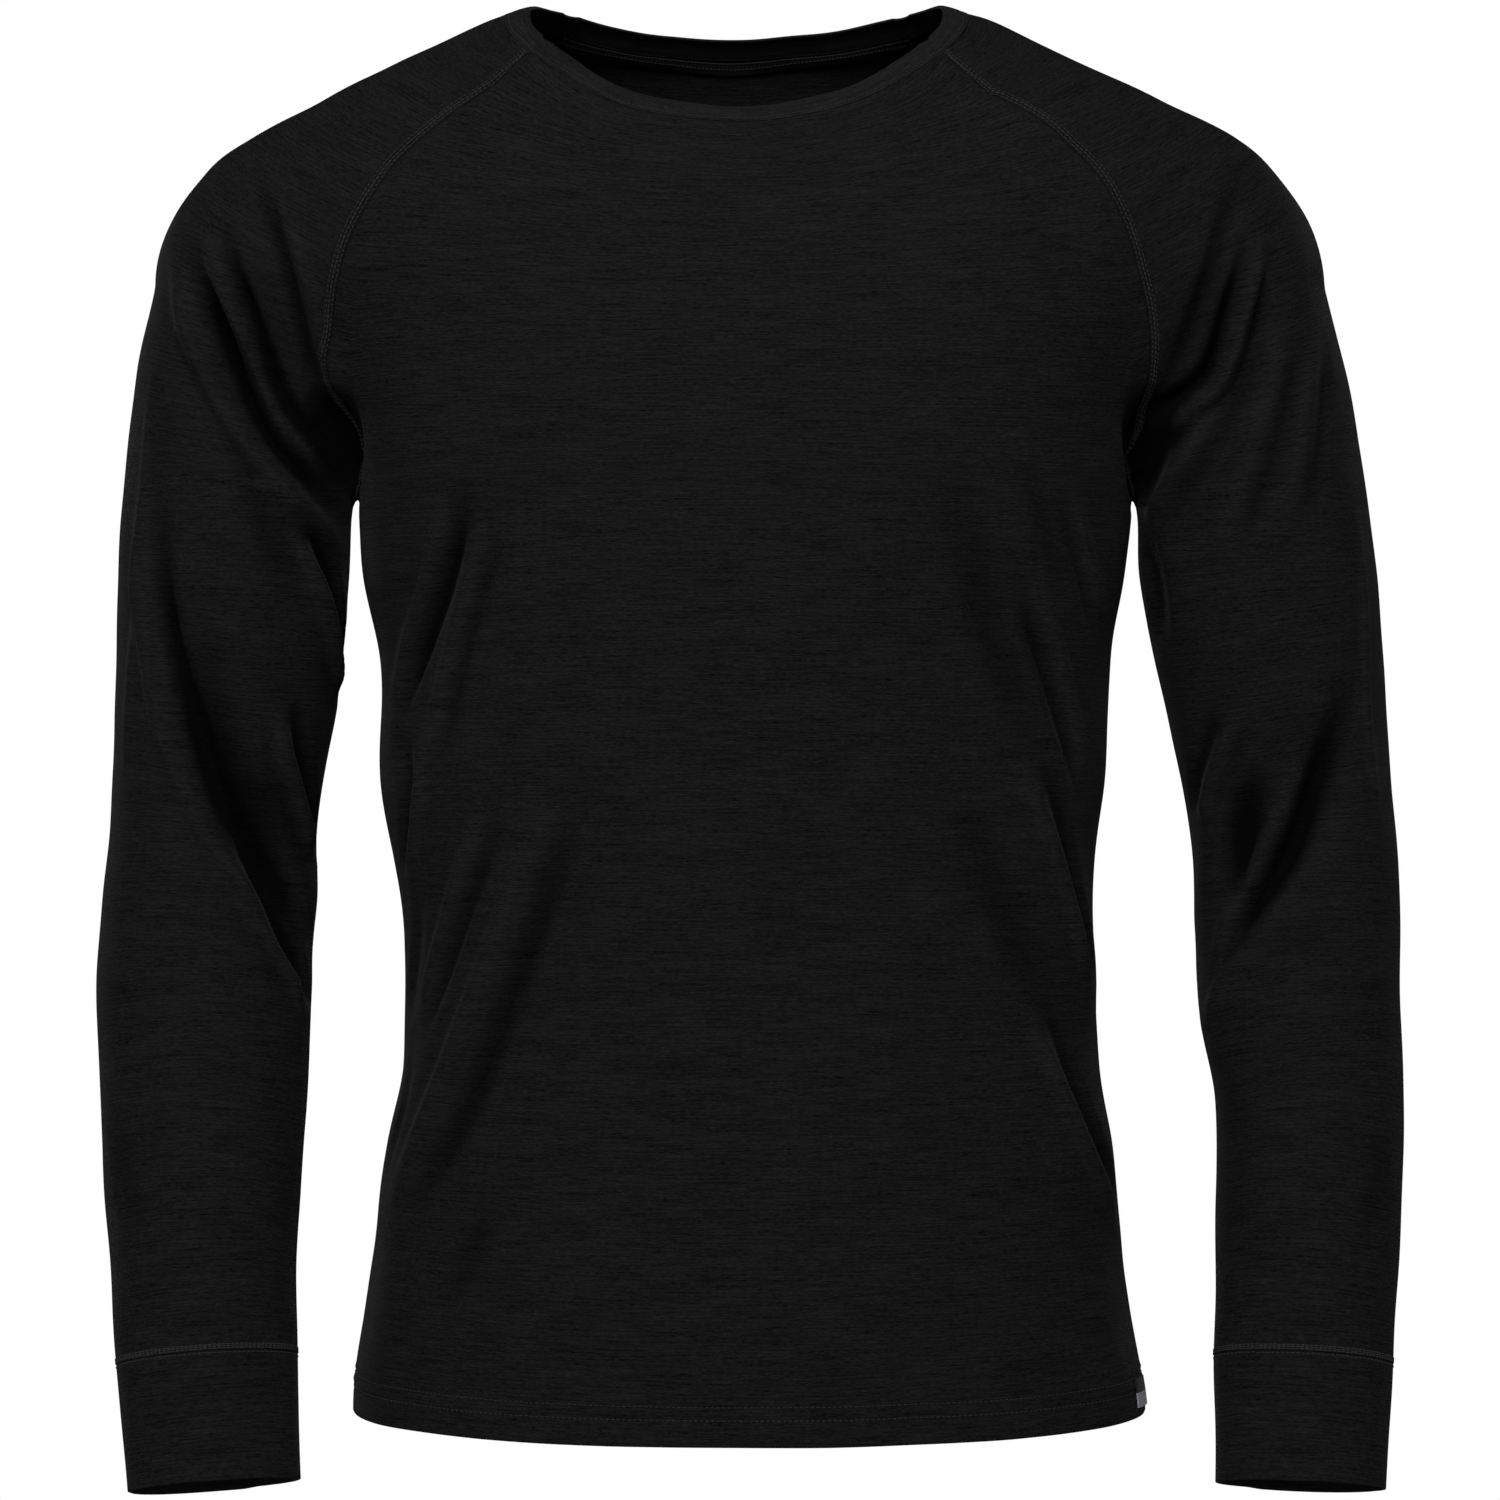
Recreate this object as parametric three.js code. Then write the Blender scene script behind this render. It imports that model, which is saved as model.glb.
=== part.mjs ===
// A long-sleeved knitted base layer top with raglan sleeves, hollow and open, standing as if worn.
// Millimetres. +Z is up, the front faces -Y, and +X is the side of the wearer's left arm.
// The origin is the middle of the neck opening, level with the shoulder ends of the neck seam.
// The cloth follows one form: oval levels for the torso and for each arm, softly joined at the armholes.
// Every piece is a grid of points settled on that form, pushed in or out by the folds, with a wall inside.

import * as THREE from "three";

// Cloth
const WALL = 1.2;
const HEM_WALL = 2.2; // the hem is turned up, so two layers
const HEM_DEPTH = 20;
const SEAM_GAP = 0.3; // clear space between sewn pieces

// Heights
const HEM_Z = -674;
const HEM_DROP = 7; // the middle of the front and back hangs this much below the sides
const CUFF_SEAM_Z = -640;
const CUFF_END_Z = -706;

// Neckband and the tape behind the back neck seam
const BAND_WIDTH = 12.5;
const BAND_WALL = 2;
const BAND_RISE_FRONT = 41; // degrees above level at the front and back middle
const BAND_RISE_SIDE = 14; // degrees above level at the shoulders
const TAPE_START = 1.6;
const TAPE_WIDTH = 7;
const TAPE_WALL = 1;

// Side label, folded and sewn into the seam on the wearer's left
const LABEL_WIDTH = 20;
const LABEL_TOP_Z = -657;
const LABEL_HEIGHT = 14;
const LABEL_WALL = 1;

// Grid steps of the pieces
const BODY_ROWS = 15; // hem to armpit
const RAGLAN_ROWS = 12; // armpit to neck
const SLEEVE_ROWS = 15; // cuff seam to armpit
const CUFF_ROWS = 3;
const EASE_ROWS = 8; // rows under the armpit over which columns swing round to the armhole
const FRONT_COLUMNS = 24;
const BACK_COLUMNS = 18;
const SLEEVE_COLUMNS = 18;

// Torso levels, from the neck down: half widths to the wearer's right and left, front, back, corner power.
const TORSO = {
  columns: ["z", "right", "left", "front", "back", "power"],
  rows: [
    [8, 104, 90, -10, 40, 2.2],
    [0, 127, 115, -35, 56, 2.2],
    [-13, 156, 145, -50, 74, 2.2],
    [-25, 180, 171, -62, 82, 2.3],
    [-39, 206, 200, -74, 89, 2.3],
    [-59, 236, 232, -86, 97, 2.3],
    [-78, 250, 242, -97, 103, 2.3],
    [-110, 240, 232, -108, 108, 2.3],
    [-150, 212, 206, -116, 110, 2.3],
    [-190, 197, 190, -119, 109, 2.3],
    [-233, 189.5, 184.5, -119, 106, 2.3],
    [-272, 186, 180, -117, 102, 2.3],
    [-311, 179, 174, -114, 98, 2.3],
    [-369, 179, 171, -110, 93, 2.3],
    [-408, 172, 167, -108, 92, 2.3],
    [-447, 167, 167, -107, 93, 2.3],
    [-505, 168, 170, -107, 97, 2.3],
    [-544, 175, 176, -108, 101, 2.3],
    [-583, 181, 179, -109, 106, 2.3],
    [-622, 187, 184, -111, 110, 2.3],
    [-661, 192, 191, -112, 113, 2.3],
    [-685, 193, 193, -112, 114, 2.3],
  ],
};

// Arm levels: middle, half width and half depth. Above the first row the arm closes in a dome.
const ARM_COLUMNS = ["z", "x", "y", "width", "depth"];
const RIGHT_ARM = {
  columns: ARM_COLUMNS,
  rows: [
    [-130, -229, 4, 61, 60],
    [-175, -239, 5, 60, 57],
    [-233, -249, 6, 56.5, 54],
    [-272, -252, 7, 57, 52],
    [-330, -256, 10, 54, 49],
    [-389, -262, 12, 51, 47],
    [-428, -264, 9, 52.5, 46],
    [-467, -265.5, 3, 52.5, 45],
    [-525, -265, -9, 49.5, 42],
    [-583, -264.5, -23, 46.5, 38],
    [-640, -261.5, -37, 44, 33],
    [-710, -255.5, -53, 41.5, 28],
  ],
};
const LEFT_ARM = {
  columns: ARM_COLUMNS,
  rows: [
    [-130, 220, 4, 60, 60],
    [-175, 230, 5, 60, 57],
    [-233, 243.7, 6, 56.2, 54],
    [-272, 247, 7, 58, 52],
    [-311, 252.5, 9, 56, 50],
    [-350, 259, 11, 53, 48],
    [-389, 264, 12, 51, 47],
    [-447, 266.5, 6, 50, 46],
    [-486, 268, -1, 49, 44],
    [-525, 270.5, -9, 45.5, 42],
    [-583, 269, -23, 45, 38],
    [-640, 265.5, -37, 43, 33],
    [-710, 262, -53, 40.5, 28],
  ],
};
const DOME_HEIGHT = 62;
const ARMHOLE_GAPE = 0.3; // radians of arm left open on each side just above the armpit

// Radius of the soft join between torso and arm at each height
const JOIN = {
  columns: ["z", "radius"],
  rows: [
    [-60, 30],
    [-150, 42],
    [-200, 26],
    [-226, 10],
    [-245, 6],
  ],
};

// Neck seam: an oval seen from above that dips at the front and a little at the back
const NECK = { x: -6.7, y: -6, halfWidth: 113, front: 80, back: 76, top: 1.5, frontDip: 60, backDip: 14 };
const CORNER = { front: 29.5, back: 40 }; // degrees from the shoulder to the raglan seam ends

// Raglan seams from just under the neck to just above the armpit, as [x, z] seen from the front or back
const RAGLAN = {
  rightFront: [[-120, -36], [-143, -52], [-164, -72], [-178, -91], [-189, -111], [-196, -134], [-199, -153],
    [-201, -174], [-197, -193], [-192, -207], [-190.5, -222]],
  leftFront: [[112, -41], [136, -55], [152, -70], [166, -85], [178, -108], [185, -130], [189, -146],
    [191, -162], [191, -183], [188, -207], [185.5, -222]],
  rightBack: [[-112, -26], [-134, -48], [-153, -72], [-169, -96], [-182, -120], [-191, -145], [-196, -170],
    [-195, -192], [-192, -210], [-190.5, -222]],
  leftBack: [[104, -26], [126, -48], [145, -72], [161, -96], [174, -120], [184, -145], [189, -170],
    [189, -192], [187, -210], [185.5, -222]],
};
const ARMPIT = { right: [-191, 1, -229], left: [186, 1, -231] };

// Top line of each sleeve from above the armpit level, over the shoulder to the neck, as [x, z]
const SHOULDER_LINE = {
  right: [[-305, -233], [-300, -185], [-291, -136], [-276, -95], [-245, -60], [-207, -38], [-166, -19], [-122, 0]],
  left: [[300, -233], [292, -185], [281, -136], [266, -95], [237, -60], [198, -38], [155, -19], [108, 0]],
};

// Largest folds: what they are on, height out of the cloth (troughs are negative), half width,
// the face they show on and their line as [x, z]
const FRONT = -1;
const BACK = 1;
const [TORSO_PART, RIGHT_PART, LEFT_PART] = [0, 1, 2];
const FOLD_COLUMNS = ["part", "height", "reach", "face", "line"];
const FOLDS = [
  // Torso front
  [TORSO_PART, -6, 36, FRONT, [[-118, -220], [-141, -266], [-159, -299], [-166, -345]]],
  [TORSO_PART, 5, 34, FRONT, [[-103, -390], [-126, -467], [-145, -510], [-175, -580]]],
  [TORSO_PART, -6, 36, FRONT, [[88, -220], [105, -273], [131, -315], [154, -350]]],
  [TORSO_PART, 5, 34, FRONT, [[124, -365], [141, -414], [156, -453], [166, -490]]],
  [TORSO_PART, 4, 34, FRONT, [[126, -490], [143, -526], [157, -554], [176, -592]]],
  // Torso back
  [TORSO_PART, -6, 38, BACK, [[-105, -235], [-122, -275], [-140, -315], [-160, -350]]],
  [TORSO_PART, -6, 38, BACK, [[98, -230], [118, -275], [136, -318], [152, -352]]],
  [TORSO_PART, 6, 40, BACK, [[-130, -400], [-70, -425], [0, -430], [60, -420]]],
  [TORSO_PART, -5, 38, BACK, [[-90, -455], [-20, -468], [60, -462], [120, -440]]],
  // Wearer's right sleeve
  [RIGHT_PART, -8, 30, FRONT, [[-254, -125], [-244, -159], [-228, -183], [-205, -212]]],
  [RIGHT_PART, -7, 30, FRONT, [[-266, -150], [-249, -190], [-228, -220], [-203, -250]]],
  [RIGHT_PART, 5, 28, FRONT, [[-235, -221], [-216, -259], [-205, -290], [-200, -315]]],
  [RIGHT_PART, -8, 32, FRONT, [[-280, -271], [-275, -310], [-263, -355], [-246, -400], [-222, -440], [-208, -470]]],
  [RIGHT_PART, 6, 28, BACK, [[-290, -360], [-266, -395], [-238, -425], [-215, -450]]],
  // Wearer's left sleeve
  [LEFT_PART, -8, 30, FRONT, [[237, -125], [227, -160], [212, -184], [194, -208]]],
  [LEFT_PART, 5, 28, FRONT, [[228, -183], [212, -211], [200, -238], [191, -262]]],
  [LEFT_PART, -8, 32, FRONT, [[279, -335], [266, -374], [249, -408], [230, -436], [215, -468]]],
  [LEFT_PART, 6, 28, BACK, [[292, -360], [268, -395], [242, -425], [222, -450]]],
];

const RADIANS = Math.PI / 180;
const plus = (a, b, k = 1) => [a[0] + k * b[0], a[1] + k * b[1], a[2] + k * b[2]];
const minus = (a, b) => plus(a, b, -1);
const dot = (a, b) => a[0] * b[0] + a[1] * b[1] + a[2] * b[2];
const length = (a) => Math.sqrt(dot(a, a));
const unit = (a) => a.map((v) => v / length(a));
const cross = (a, b) => [a[1] * b[2] - a[2] * b[1], a[2] * b[0] - a[0] * b[2], a[0] * b[1] - a[1] * b[0]];
const mix = (a, b, t) => plus(a, minus(b, a), t);
const clamp01 = (t) => Math.min(Math.max(t, 0), 1);
const smooth = (t) => clamp01(t) ** 2 * (3 - 2 * clamp01(t));

// One value between two others with given slopes
function hermite(a, b, slopeA, slopeB, t) {
  const u = 1 - t;
  return a * u * u * (1 + 2 * t) + b * t * t * (3 - 2 * t) + slopeA * t * u * u - slopeB * t * t * u;
}

// A table column as a smooth function of height, constant past both ends
function columnOf(table, name) {
  const heights = table.rows.map((row) => row[0]);
  const values = table.rows.map((row) => row[table.columns.indexOf(name)]);
  const last = heights.length - 1;
  const slopes = values.map((_, i) => {
    const low = Math.max(i - 1, 0);
    const high = Math.min(i + 1, last);
    return (values[high] - values[low]) / (heights[high] - heights[low]);
  });
  return (z) => {
    if (z >= heights[0]) return values[0];
    if (z <= heights[last]) return values[last];
    let i = 0;
    while (z < heights[i + 1]) i += 1;
    const step = heights[i + 1] - heights[i];
    const t = (z - heights[i]) / step;
    return hermite(values[i], values[i + 1], slopes[i] * step, slopes[i + 1] * step, t);
  };
}

const columnsOf = (table) =>
  Object.fromEntries(table.columns.slice(1).map((name) => [name, columnOf(table, name)]));

const torso = columnsOf(TORSO);
const arms = { right: columnsOf(RIGHT_ARM), left: columnsOf(LEFT_ARM) };
const joinRadius = columnOf(JOIN, "radius");

// The oval of the torso at one height
function torsoLevel(z) {
  const [right, left, front, back] = ["right", "left", "front", "back"].map((name) => torso[name](z));
  return { x: (left - right) / 2, y: (front + back) / 2, a: (left + right) / 2, b: (back - front) / 2 };
}

// 1 on the form, less inside, more outside
function torsoRatio(x, y, z) {
  const level = torsoLevel(z);
  const power = torso.power(z);
  const u = Math.abs((x - level.x) / level.a);
  const v = Math.abs((y - level.y) / level.b);
  return (u ** power + v ** power) ** (1 / power);
}

function armRatio(arm, domeBase) {
  return (x, y, z) => {
    const u = (x - arm.x(z)) / arm.width(z);
    const v = (y - arm.y(z)) / arm.depth(z);
    const w = Math.max(z - domeBase, 0) / DOME_HEIGHT;
    return Math.hypot(u, v, w);
  };
}

const ratios = [
  torsoRatio,
  armRatio(arms.right, RIGHT_ARM.rows[0][0]),
  armRatio(arms.left, LEFT_ARM.rows[0][0]),
];

function slopeOf(field, x, y, z, step) {
  return [
    (field(x + step, y, z) - field(x - step, y, z)) / (2 * step),
    (field(x, y + step, z) - field(x, y - step, z)) / (2 * step),
    (field(x, y, z + step) - field(x, y, z - step)) / (2 * step),
  ];
}

// Rough distances out of the torso and the two arms, negative inside
const partDistances = (x, y, z) =>
  ratios.map((ratio) => (ratio(x, y, z) - 1) / length(slopeOf(ratio, x, y, z, 1)));

// Rough distance out of the whole form
function form(x, y, z) {
  const radius = joinRadius(z);
  return partDistances(x, y, z).reduce((a, b) => {
    const shared = Math.max(radius - Math.abs(a - b), 0) / radius;
    return Math.min(a, b) - (shared * shared * radius) / 4;
  });
}

const outward = (p) => unit(slopeOf(form, ...p, 0.5));

// Moves a point onto the form, straight to it
function settle(point, rounds = 7) {
  let p = point;
  for (let i = 0; i < rounds; i += 1) {
    const slope = slopeOf(form, ...p, 0.5);
    p = plus(p, slope, -form(...p) / dot(slope, slope));
  }
  return p;
}

// The point of the form that shows at x, z from the front or the back
function seenPoint([x, z], face) {
  let outside = 200;
  while (form(x, face * (outside - 2), z) > 0 && outside > -100) outside -= 2;
  let inside = outside - 2;
  for (let i = 0; i < 20; i += 1) {
    const middle = (outside + inside) / 2;
    if (form(x, face * middle, z) > 0) outside = middle;
    else inside = middle;
  }
  return [x, face * outside, z];
}

// A smooth line through points, with even steps along its length
function evenLine(points, steps) {
  const dense = [];
  const last = points.length - 1;
  const slope = (i, k) => {
    const low = Math.max(i - 1, 0);
    const high = Math.min(i + 1, last);
    return (points[high][k] - points[low][k]) / (high - low);
  };
  for (let i = 0; i < last; i += 1) {
    for (let j = 0; j < 8; j += 1) {
      const at = (k) => hermite(points[i][k], points[i + 1][k], slope(i, k), slope(i + 1, k), j / 8);
      dense.push(points[i].map((_, k) => at(k)));
    }
  }
  dense.push(points[last]);
  const apart = (a, b) => Math.hypot(...a.map((v, k) => v - b[k]));
  const travelled = [0];
  for (let i = 1; i < dense.length; i += 1) travelled.push(travelled[i - 1] + apart(dense[i], dense[i - 1]));
  const whole = travelled.at(-1);
  return Array.from({ length: steps + 1 }, (_, step) => {
    const wanted = (whole * step) / steps;
    let i = 1;
    while (i < dense.length - 1 && travelled[i] < wanted) i += 1;
    const t = (wanted - travelled[i - 1]) / (travelled[i] - travelled[i - 1]);
    return dense[i].map((v, k) => dense[i - 1][k] + t * (v - dense[i - 1][k]));
  });
}

const FOLD_STEPS = 12;
const folds = FOLDS.map((row) => {
  const fold = Object.fromEntries(FOLD_COLUMNS.map((name, i) => [name, row[i]]));
  return { ...fold, line: evenLine(fold.line, FOLD_STEPS).map((point) => seenPoint(point, fold.face)) };
});

// How far one fold lifts the cloth at p: highest on its line, fading to its reach and to both ends.
// It also fades where another part's surface is the nearer one, across the gap under the arm.
function foldHeight({ part, height, reach, line }, p, distances) {
  let nearest = Infinity;
  let along = 0;
  for (let i = 0; i + 1 < line.length; i += 1) {
    const span = minus(line[i + 1], line[i]);
    const t = clamp01(dot(minus(p, line[i]), span) / dot(span, span));
    const away = length(minus(p, plus(line[i], span, t)));
    if (away < nearest) {
      nearest = away;
      along = (i + t) / (line.length - 1);
    }
  }
  if (nearest > reach) return 0;
  const own = 1 - smooth((distances[part] - Math.min(...distances) - 2) / 8);
  return own * height * (1 - (nearest / reach) ** 2) ** 2 * Math.sin(Math.PI * along);
}

function folded(p) {
  const distances = partDistances(...p);
  const height = folds.reduce((sum, fold) => sum + foldHeight(fold, p, distances), 0);
  return plus(p, outward(p), height);
}

// The cloth's outer point over p, with its direction outward
function clothPoint(p) {
  const out = outward(p);
  const side = unit(cross(out, Math.abs(out[2]) < 0.8 ? [0, 0, 1] : [0, 1, 0]));
  const up = cross(side, out);
  const outer = folded(p);
  const normal = unit(cross(minus(folded(plus(p, up, 0.7)), outer), minus(folded(plus(p, side, 0.7)), outer)));
  return { outer, normal: dot(normal, out) < 0 ? normal.map((v) => -v) : normal };
}

// Seams, from the armpit to the neck

const neckPoint = (degrees) => {
  const c = Math.cos(degrees * RADIANS);
  const s = Math.sin(degrees * RADIANS);
  const y = NECK.y + (s < 0 ? s * NECK.front : s * NECK.back);
  const dip = s < 0 ? NECK.frontDip * (-s) ** 1.17 : NECK.backDip * s ** 1.5;
  return settle([NECK.x + c * NECK.halfWidth, y, NECK.top - dip]);
};

const neckArc = (from, to, steps) =>
  Array.from({ length: steps + 1 }, (_, i) => neckPoint(from + ((to - from) * i) / steps));

// Degrees run from the wearer's left shoulder (0) over the back (90) to the right (180) and the front (270).
const neck = {
  front: neckArc(180 + CORNER.front, 360 - CORNER.front, FRONT_COLUMNS),
  left: neckArc(-CORNER.front, CORNER.back, SLEEVE_COLUMNS),
  back: neckArc(CORNER.back, 180 - CORNER.back, BACK_COLUMNS),
  right: neckArc(180 - CORNER.back, 180 + CORNER.front, SLEEVE_COLUMNS),
};

const armpit = { right: settle(ARMPIT.right), left: settle(ARMPIT.left) };

function raglanSeam(line, face, armpitPoint, neckEnd) {
  const seen = evenLine(line, 40).map((point) => seenPoint(point, face)).reverse();
  const even = evenLine([armpitPoint, ...seen, neckEnd], RAGLAN_ROWS);
  return even.map((point, i) => (i === 0 ? armpitPoint : i === RAGLAN_ROWS ? neckEnd : settle(point)));
}

const raglan = {
  rightFront: raglanSeam(RAGLAN.rightFront, FRONT, armpit.right, neck.front[0]),
  leftFront: raglanSeam(RAGLAN.leftFront, FRONT, armpit.left, neck.front.at(-1)),
  rightBack: raglanSeam(RAGLAN.rightBack, BACK, armpit.right, neck.back.at(-1)),
  leftBack: raglanSeam(RAGLAN.leftBack, BACK, armpit.left, neck.back[0]),
};

// Side seams from the hem to the armpit, swung a little to the front lower down
const SIDE_SEAM_HEM_Y = -14;
function sideSeam(sign, armpitPoint) {
  return Array.from({ length: BODY_ROWS + 1 }, (_, i) => {
    if (i === BODY_ROWS) return armpitPoint;
    const t = i / BODY_ROWS;
    const z = HEM_Z + (armpitPoint[2] - HEM_Z) * t;
    const level = torsoLevel(z);
    const y = SIDE_SEAM_HEM_Y + (armpitPoint[1] - SIDE_SEAM_HEM_Y) * t;
    return settle([level.x + sign * level.a, y, z]);
  });
}
const side = { right: sideSeam(-1, armpit.right), left: sideSeam(1, armpit.left) };

// A torso panel between two edge lines (hem to neck) and its neckline, columns from start to end
function panelGrid(start, end, neckline, columns, face) {
  const last = start.length - 1;
  const angleOf = (p) => {
    const level = torsoLevel(p[2]);
    const angle = Math.atan2((face * (p[1] - level.y)) / level.b, (p[0] - level.x) / level.a);
    return angle < -Math.PI / 2 ? angle + 2 * Math.PI : angle;
  };
  return start.map((first, row) => {
    const final = end[row];
    if (row === last) return neckline;
    // Rows under the armpit open towards the angles of the first row over it
    const open = [start, end].map((edge) => angleOf(edge[Math.max(row, BODY_ROWS + 1)]));
    const near = row > BODY_ROWS ? 1 : smooth(1 - (BODY_ROWS - row) / EASE_ROWS);
    const from = angleOf(first) + near * (open[0] - angleOf(first));
    const to = angleOf(final) + near * (open[1] - angleOf(final));
    const lift = Math.max((row - BODY_ROWS) / RAGLAN_ROWS, 0) ** 2;
    const drop = Math.max(1 - row / 4, 0) * HEM_DROP;
    return Array.from({ length: columns + 1 }, (_, j) => {
      if (j === 0) return first;
      if (j === columns) return final;
      const s = j / columns;
      const straight = neckline[0][2] + (neckline[columns][2] - neckline[0][2]) * s;
      const z = first[2] + (final[2] - first[2]) * s + lift * (neckline[j][2] - straight)
        - drop * Math.sin(Math.PI * s);
      const angle = from + (to - from) * s;
      const level = torsoLevel(z);
      return settle([level.x + level.a * Math.cos(angle), level.y + face * level.b * Math.sin(angle), z]);
    });
  });
}

const frontGrid = panelGrid(
  [...side.right.slice(0, -1), ...raglan.rightFront],
  [...side.left.slice(0, -1), ...raglan.leftFront],
  neck.front,
  FRONT_COLUMNS,
  FRONT,
);
const backGrid = panelGrid(
  [...side.left.slice(0, -1), ...raglan.leftBack],
  [...side.right.slice(0, -1), ...raglan.rightBack],
  neck.back,
  BACK_COLUMNS,
  BACK,
);

// One ring of a sleeve or cuff square to the arm at height z, from the inner arm over the front.
// `gape` is the turn left wide on each side of the inner arm.
function armRing(name, sign, z, columns, gape = 0) {
  const arm = arms[name];
  const [x, y] = [arm.x(z), arm.y(z)];
  const square = smooth((armpit[name][2] - z) / 70);
  const leanX = (square * (arm.x(z + 5) - arm.x(z - 5))) / 10;
  const leanY = (square * (arm.y(z + 5) - arm.y(z - 5))) / 10;
  const ring = Array.from({ length: columns }, (_, j) => {
    const turn = j === 0 ? 0 : gape + ((2 * Math.PI - 2 * gape) * j) / columns;
    const dx = -sign * arm.width(z) * Math.cos(turn);
    const dy = -arm.depth(z) * Math.sin(turn);
    return settle([x + dx, y + dy, z - dx * leanX - dy * leanY]);
  });
  return [...ring, ring[0]];
}

// One open arc of a sleeve from the front raglan seam over the shoulder line to the back seam
function capArc(front, top, back, columns) {
  const middle = mix(front, back, 0.5);
  const out = unit(minus(top, middle));
  const chord = minus(back, front);
  const across = unit(plus(chord, out, -dot(chord, out)));
  const flat = (p) => [dot(minus(p, middle), out), dot(minus(p, middle), across)];
  const [frontOut, frontAcross] = flat(front);
  const [backOut, backAcross] = flat(back);
  const reach = length(minus(top, middle));
  const halfChord = (backAcross - frontAcross) / 2;
  const centre = (reach ** 2 - halfChord ** 2) / (2 * reach);
  const radius = reach - centre;
  const from = Math.atan2(frontAcross, frontOut - centre);
  const to = Math.atan2(backAcross, backOut - centre);
  return Array.from({ length: columns + 1 }, (_, j) => {
    if (j === 0) return front;
    if (j === columns) return back;
    const turn = from + ((to - from) * j) / columns;
    const along = plus(plus(middle, out, centre + radius * Math.cos(turn)), across, radius * Math.sin(turn));
    return settle(along);
  });
}

function sleeveGrid(name, sign) {
  const rings = Array.from({ length: SLEEVE_ROWS + 1 }, (_, i) => {
    const z = CUFF_SEAM_Z + ((armpit[name][2] - CUFF_SEAM_Z) * i) / SLEEVE_ROWS;
    const near = smooth(1 - (SLEEVE_ROWS - i) / EASE_ROWS);
    return armRing(name, sign, z, SLEEVE_COLUMNS, near * ARMHOLE_GAPE);
  });
  const pitRing = rings.pop();
  pitRing[0] = armpit[name];
  pitRing[SLEEVE_COLUMNS] = armpit[name];
  const tops = evenLine(SHOULDER_LINE[name].map(([x, z]) => [x, 4, z]), RAGLAN_ROWS).map((p) => settle(p));
  const front = raglan[`${name}Front`];
  const back = raglan[`${name}Back`];
  const cap = tops.slice(1, -1).map((top, i) => capArc(front[i + 1], top, back[i + 1], SLEEVE_COLUMNS));
  const neckEdge = name === "left" ? neck.left : [...neck.right].reverse();
  return [...rings, pitRing, ...cap, neckEdge];
}

const sleeveGrids = { right: sleeveGrid("right", -1), left: sleeveGrid("left", 1) };

function cuffGrid(name, sign) {
  return Array.from({ length: CUFF_ROWS + 1 }, (_, i) => {
    const z = CUFF_END_Z + ((CUFF_SEAM_Z - CUFF_END_Z) * i) / CUFF_ROWS;
    return armRing(name, sign, z, SLEEVE_COLUMNS);
  });
}

// Both faces of a cloth wall over a grid of points on the form
function clothWall(grid, thicknessAt, lift = 0) {
  return grid.map((row, i) => row.map((p) => {
    const { outer, normal } = clothPoint(p);
    const raised = plus(outer, normal, lift);
    return { outer: raised, inner: plus(raised, normal, -thicknessAt(p, i)), normal };
  }));
}

// Draws every edge of a wall back by half the seam gap. `tube` rows are closed rings.
function drawBack(wall, tube) {
  const rows = wall.length;
  const columns = wall[0].length - 1;
  const shifts = wall.map((row) => row.map(() => [0, 0, 0]));
  const shift = (i, j, target, before, after) => {
    const along = unit(minus(after.outer, before.outer));
    const inward = minus(target, wall[i][j].outer);
    const square = unit(plus(inward, along, -dot(inward, along)));
    shifts[i][j] = plus(shifts[i][j], square, SEAM_GAP / 2);
  };
  const wrap = (i, j) => (i < tube ? (j + columns) % columns : Math.min(Math.max(j, 0), columns));
  for (let j = 0; j <= columns; j += 1) {
    shift(0, j, wall[1][j].outer, wall[0][wrap(0, j - 1)], wall[0][wrap(0, j + 1)]);
    const top = rows - 1;
    shift(top, j, wall[top - 1][j].outer, wall[top][wrap(top, j - 1)], wall[top][wrap(top, j + 1)]);
  }
  for (let i = tube; i < rows; i += 1) {
    const below = wall[Math.max(i - 1, tube)];
    const above = wall[Math.min(i + 1, rows - 1)];
    shift(i, 0, wall[i][1].outer, below[0], above[0]);
    shift(i, columns, wall[i][columns - 1].outer, below[columns], above[columns]);
  }
  if (tube > 0 && tube < rows) {
    // The armpit corner belongs to both open edges, which meet there
    const corner = tube - 1;
    const ring = wall[corner];
    shift(corner, 0, mix(ring[1].outer, ring[columns - 1].outer, 0.5), wall[tube][0], wall[tube][columns]);
    shifts[corner][columns] = shifts[corner][0];
  }
  return wall.map((row, i) => row.map((spot, j) => ({
    ...spot,
    outer: plus(spot.outer, shifts[i][j]),
    inner: plus(spot.inner, shifts[i][j]),
  })));
}

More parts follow.
